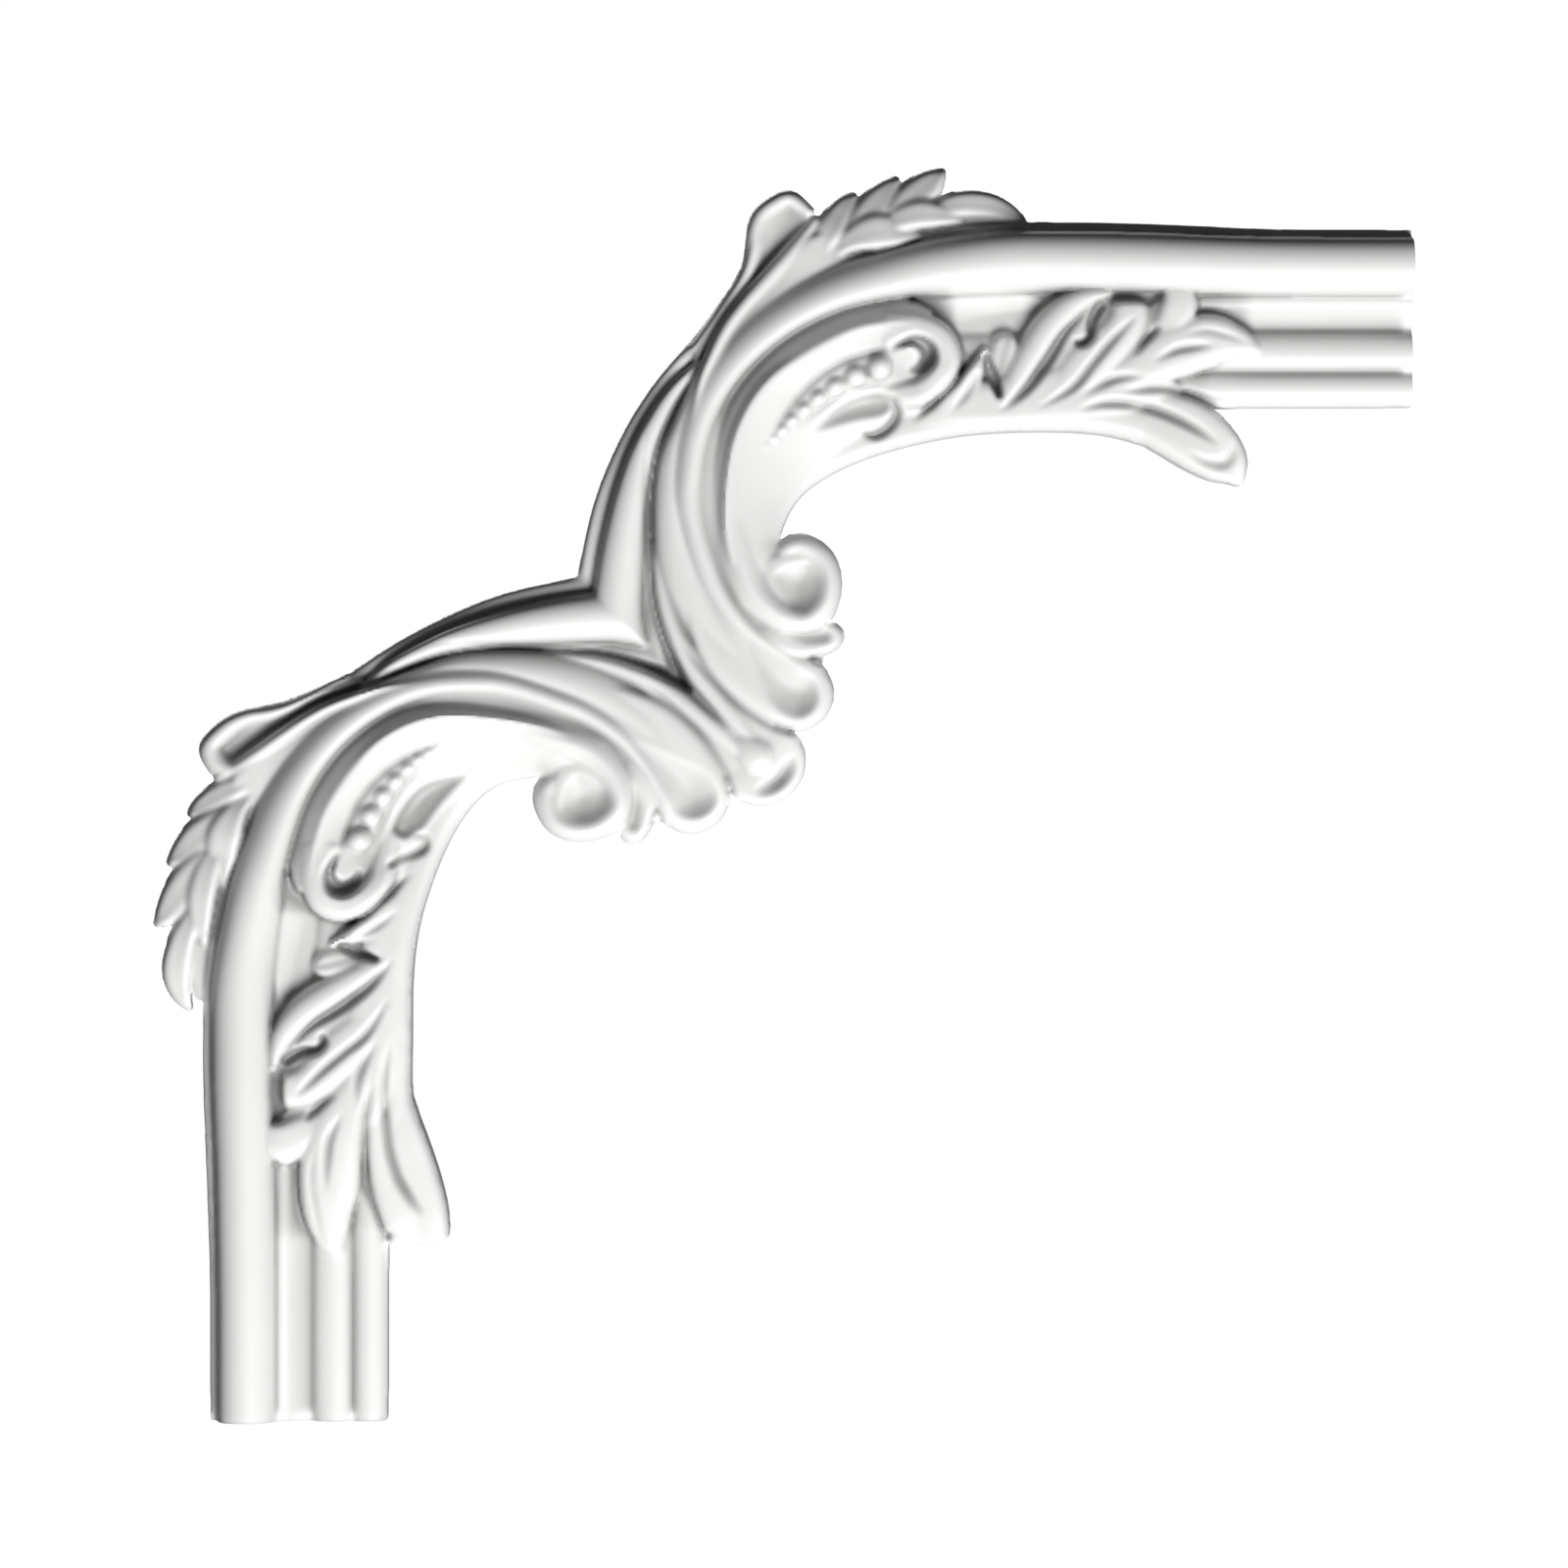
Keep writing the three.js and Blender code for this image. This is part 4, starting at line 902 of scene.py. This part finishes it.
columns_down = []
for point in outline:
    x, y, z = spots[point]
    column = [point]
    for k in range(1, SKIRT_ROWS + 1):
        column.append(len(spots))
        spots.append((x, y, z * (1 - k / SKIRT_ROWS)))
        tones.append(0.0)
    columns_down.append(column)
for here, after in zip(columns_down, columns_down[1:] + columns_down[:1]):
    for k in range(SKIRT_ROWS):
        faces.append([here[k], here[k + 1], after[k + 1], after[k]])
faces.append([column[-1] for column in reversed(columns_down)])

CREASE_ANGLE = math.radians(50)
skin = bpy.data.meshes.new("cast_corner")
skin.from_pydata([(x * MM, -z * MM, y * MM) for x, y, z in spots], [], faces)
# Each point carries its painted shade, which darkens the primer's colour in creases and hollows.
skin.attributes.new("painted_shade", "FLOAT", "POINT").data.foreach_set("value", tones)
skin.materials.append(primer)
skin.validate()
skin.shade_smooth()
skin.set_sharp_from_angle(angle=CREASE_ANGLE)
cast_corner = bpy.data.objects.new("cast_corner", skin)
bpy.context.scene.collection.objects.link(cast_corner)
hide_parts("moulding_corner")
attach(cast_corner, "root")

# Studio: white surroundings, a pale floor well below the piece, and soft lamps.
# The light comes from below right, so every edge that faces up and left falls into shade.
FLOOR_HEIGHT = -0.32
FLOOR_HALF = 0.7
FLOOR_COLOUR = (0.8, 0.8, 0.79, 1.0)
floor_mesh = bpy.data.meshes.new("floor")
floor_mesh.from_pydata([(x * FLOOR_HALF, y * FLOOR_HALF, FLOOR_HEIGHT)
                        for x, y in ((-1, -1), (1, -1), (1, 1), (-1, 1))], [], [(0, 1, 2, 3)])
floor_material = bpy.data.materials.new("pale_floor")
floor_material.use_nodes = True
floor_surface = floor_material.node_tree.nodes["Principled BSDF"]
floor_surface.inputs["Base Color"].default_value = FLOOR_COLOUR
floor_surface.inputs["Roughness"].default_value = 0.8
floor_mesh.materials.append(floor_material)
floor = bpy.data.objects.new("floor", floor_mesh)
bpy.context.scene.collection.objects.link(floor)
floor.visible_shadow = False

MIDDLE = Vector((0.0244, 0.0, -0.0244))


def soft_lamp(name, offset, size, power):
    lamp = bpy.data.lights.new(name, "AREA")
    lamp.energy = power
    lamp.size = size
    holder = bpy.data.objects.new(name, lamp)
    holder.location = MIDDLE + Vector(offset)
    holder.rotation_euler = (-Vector(offset)).to_track_quat("-Z", "Y").to_euler()
    bpy.context.scene.collection.objects.link(holder)


soft_lamp("key", offset=(0.46, -1.46, -1.12), size=0.9, power=45.0)
soft_lamp("back", offset=(-0.5, 2.0, 0.9), size=1.2, power=30.0)

WHITE = (1.0, 1.0, 1.0, 1.0)
SEEN_STRENGTH = 1.0
LIGHT_STRENGTH = 0.03
world = bpy.data.worlds.new("studio")
world.use_nodes = True
bpy.context.scene.world = world
sky = world.node_tree
sky.nodes.clear()
seen = new_node(sky, "ShaderNodeLightPath")
bright = new_node(sky, "ShaderNodeBackground")
bright.inputs["Color"].default_value = WHITE
bright.inputs["Strength"].default_value = SEEN_STRENGTH
dim = new_node(sky, "ShaderNodeBackground")
dim.inputs["Color"].default_value = WHITE
dim.inputs["Strength"].default_value = LIGHT_STRENGTH
either = new_node(sky, "ShaderNodeMixShader")
surroundings = new_node(sky, "ShaderNodeOutputWorld")
sky.links.new(seen.outputs["Is Camera Ray"], either.inputs[0])
sky.links.new(dim.outputs[0], either.inputs[1])
sky.links.new(bright.outputs[0], either.inputs[2])
sky.links.new(either.outputs[0], surroundings.inputs["Surface"])
bpy.context.scene.view_settings.view_transform = "Standard"

# Camera: level and straight on, on the middle of the piece, at the photograph's framing.
# A long lens keeps the arm ends almost free of perspective.
DISTANCE = 1.5
PIXELS_WIDE = 1600
PIXELS_PER_MM = 4.5
FRAME_WIDTH = PIXELS_WIDE / PIXELS_PER_MM * MM
SENSOR_WIDTH = 36.0
camera = bpy.data.cameras.new("camera")
camera.sensor_fit = "HORIZONTAL"
camera.sensor_width = SENSOR_WIDTH
camera.lens = SENSOR_WIDTH * DISTANCE / FRAME_WIDTH
camera.dof.use_dof = False
viewer = bpy.data.objects.new("camera", camera)
viewer.location = MIDDLE + Vector((0.0, -DISTANCE, 0.0))
viewer.rotation_euler = (math.radians(90), 0.0, 0.0)
bpy.context.scene.collection.objects.link(viewer)
bpy.context.scene.camera = viewer
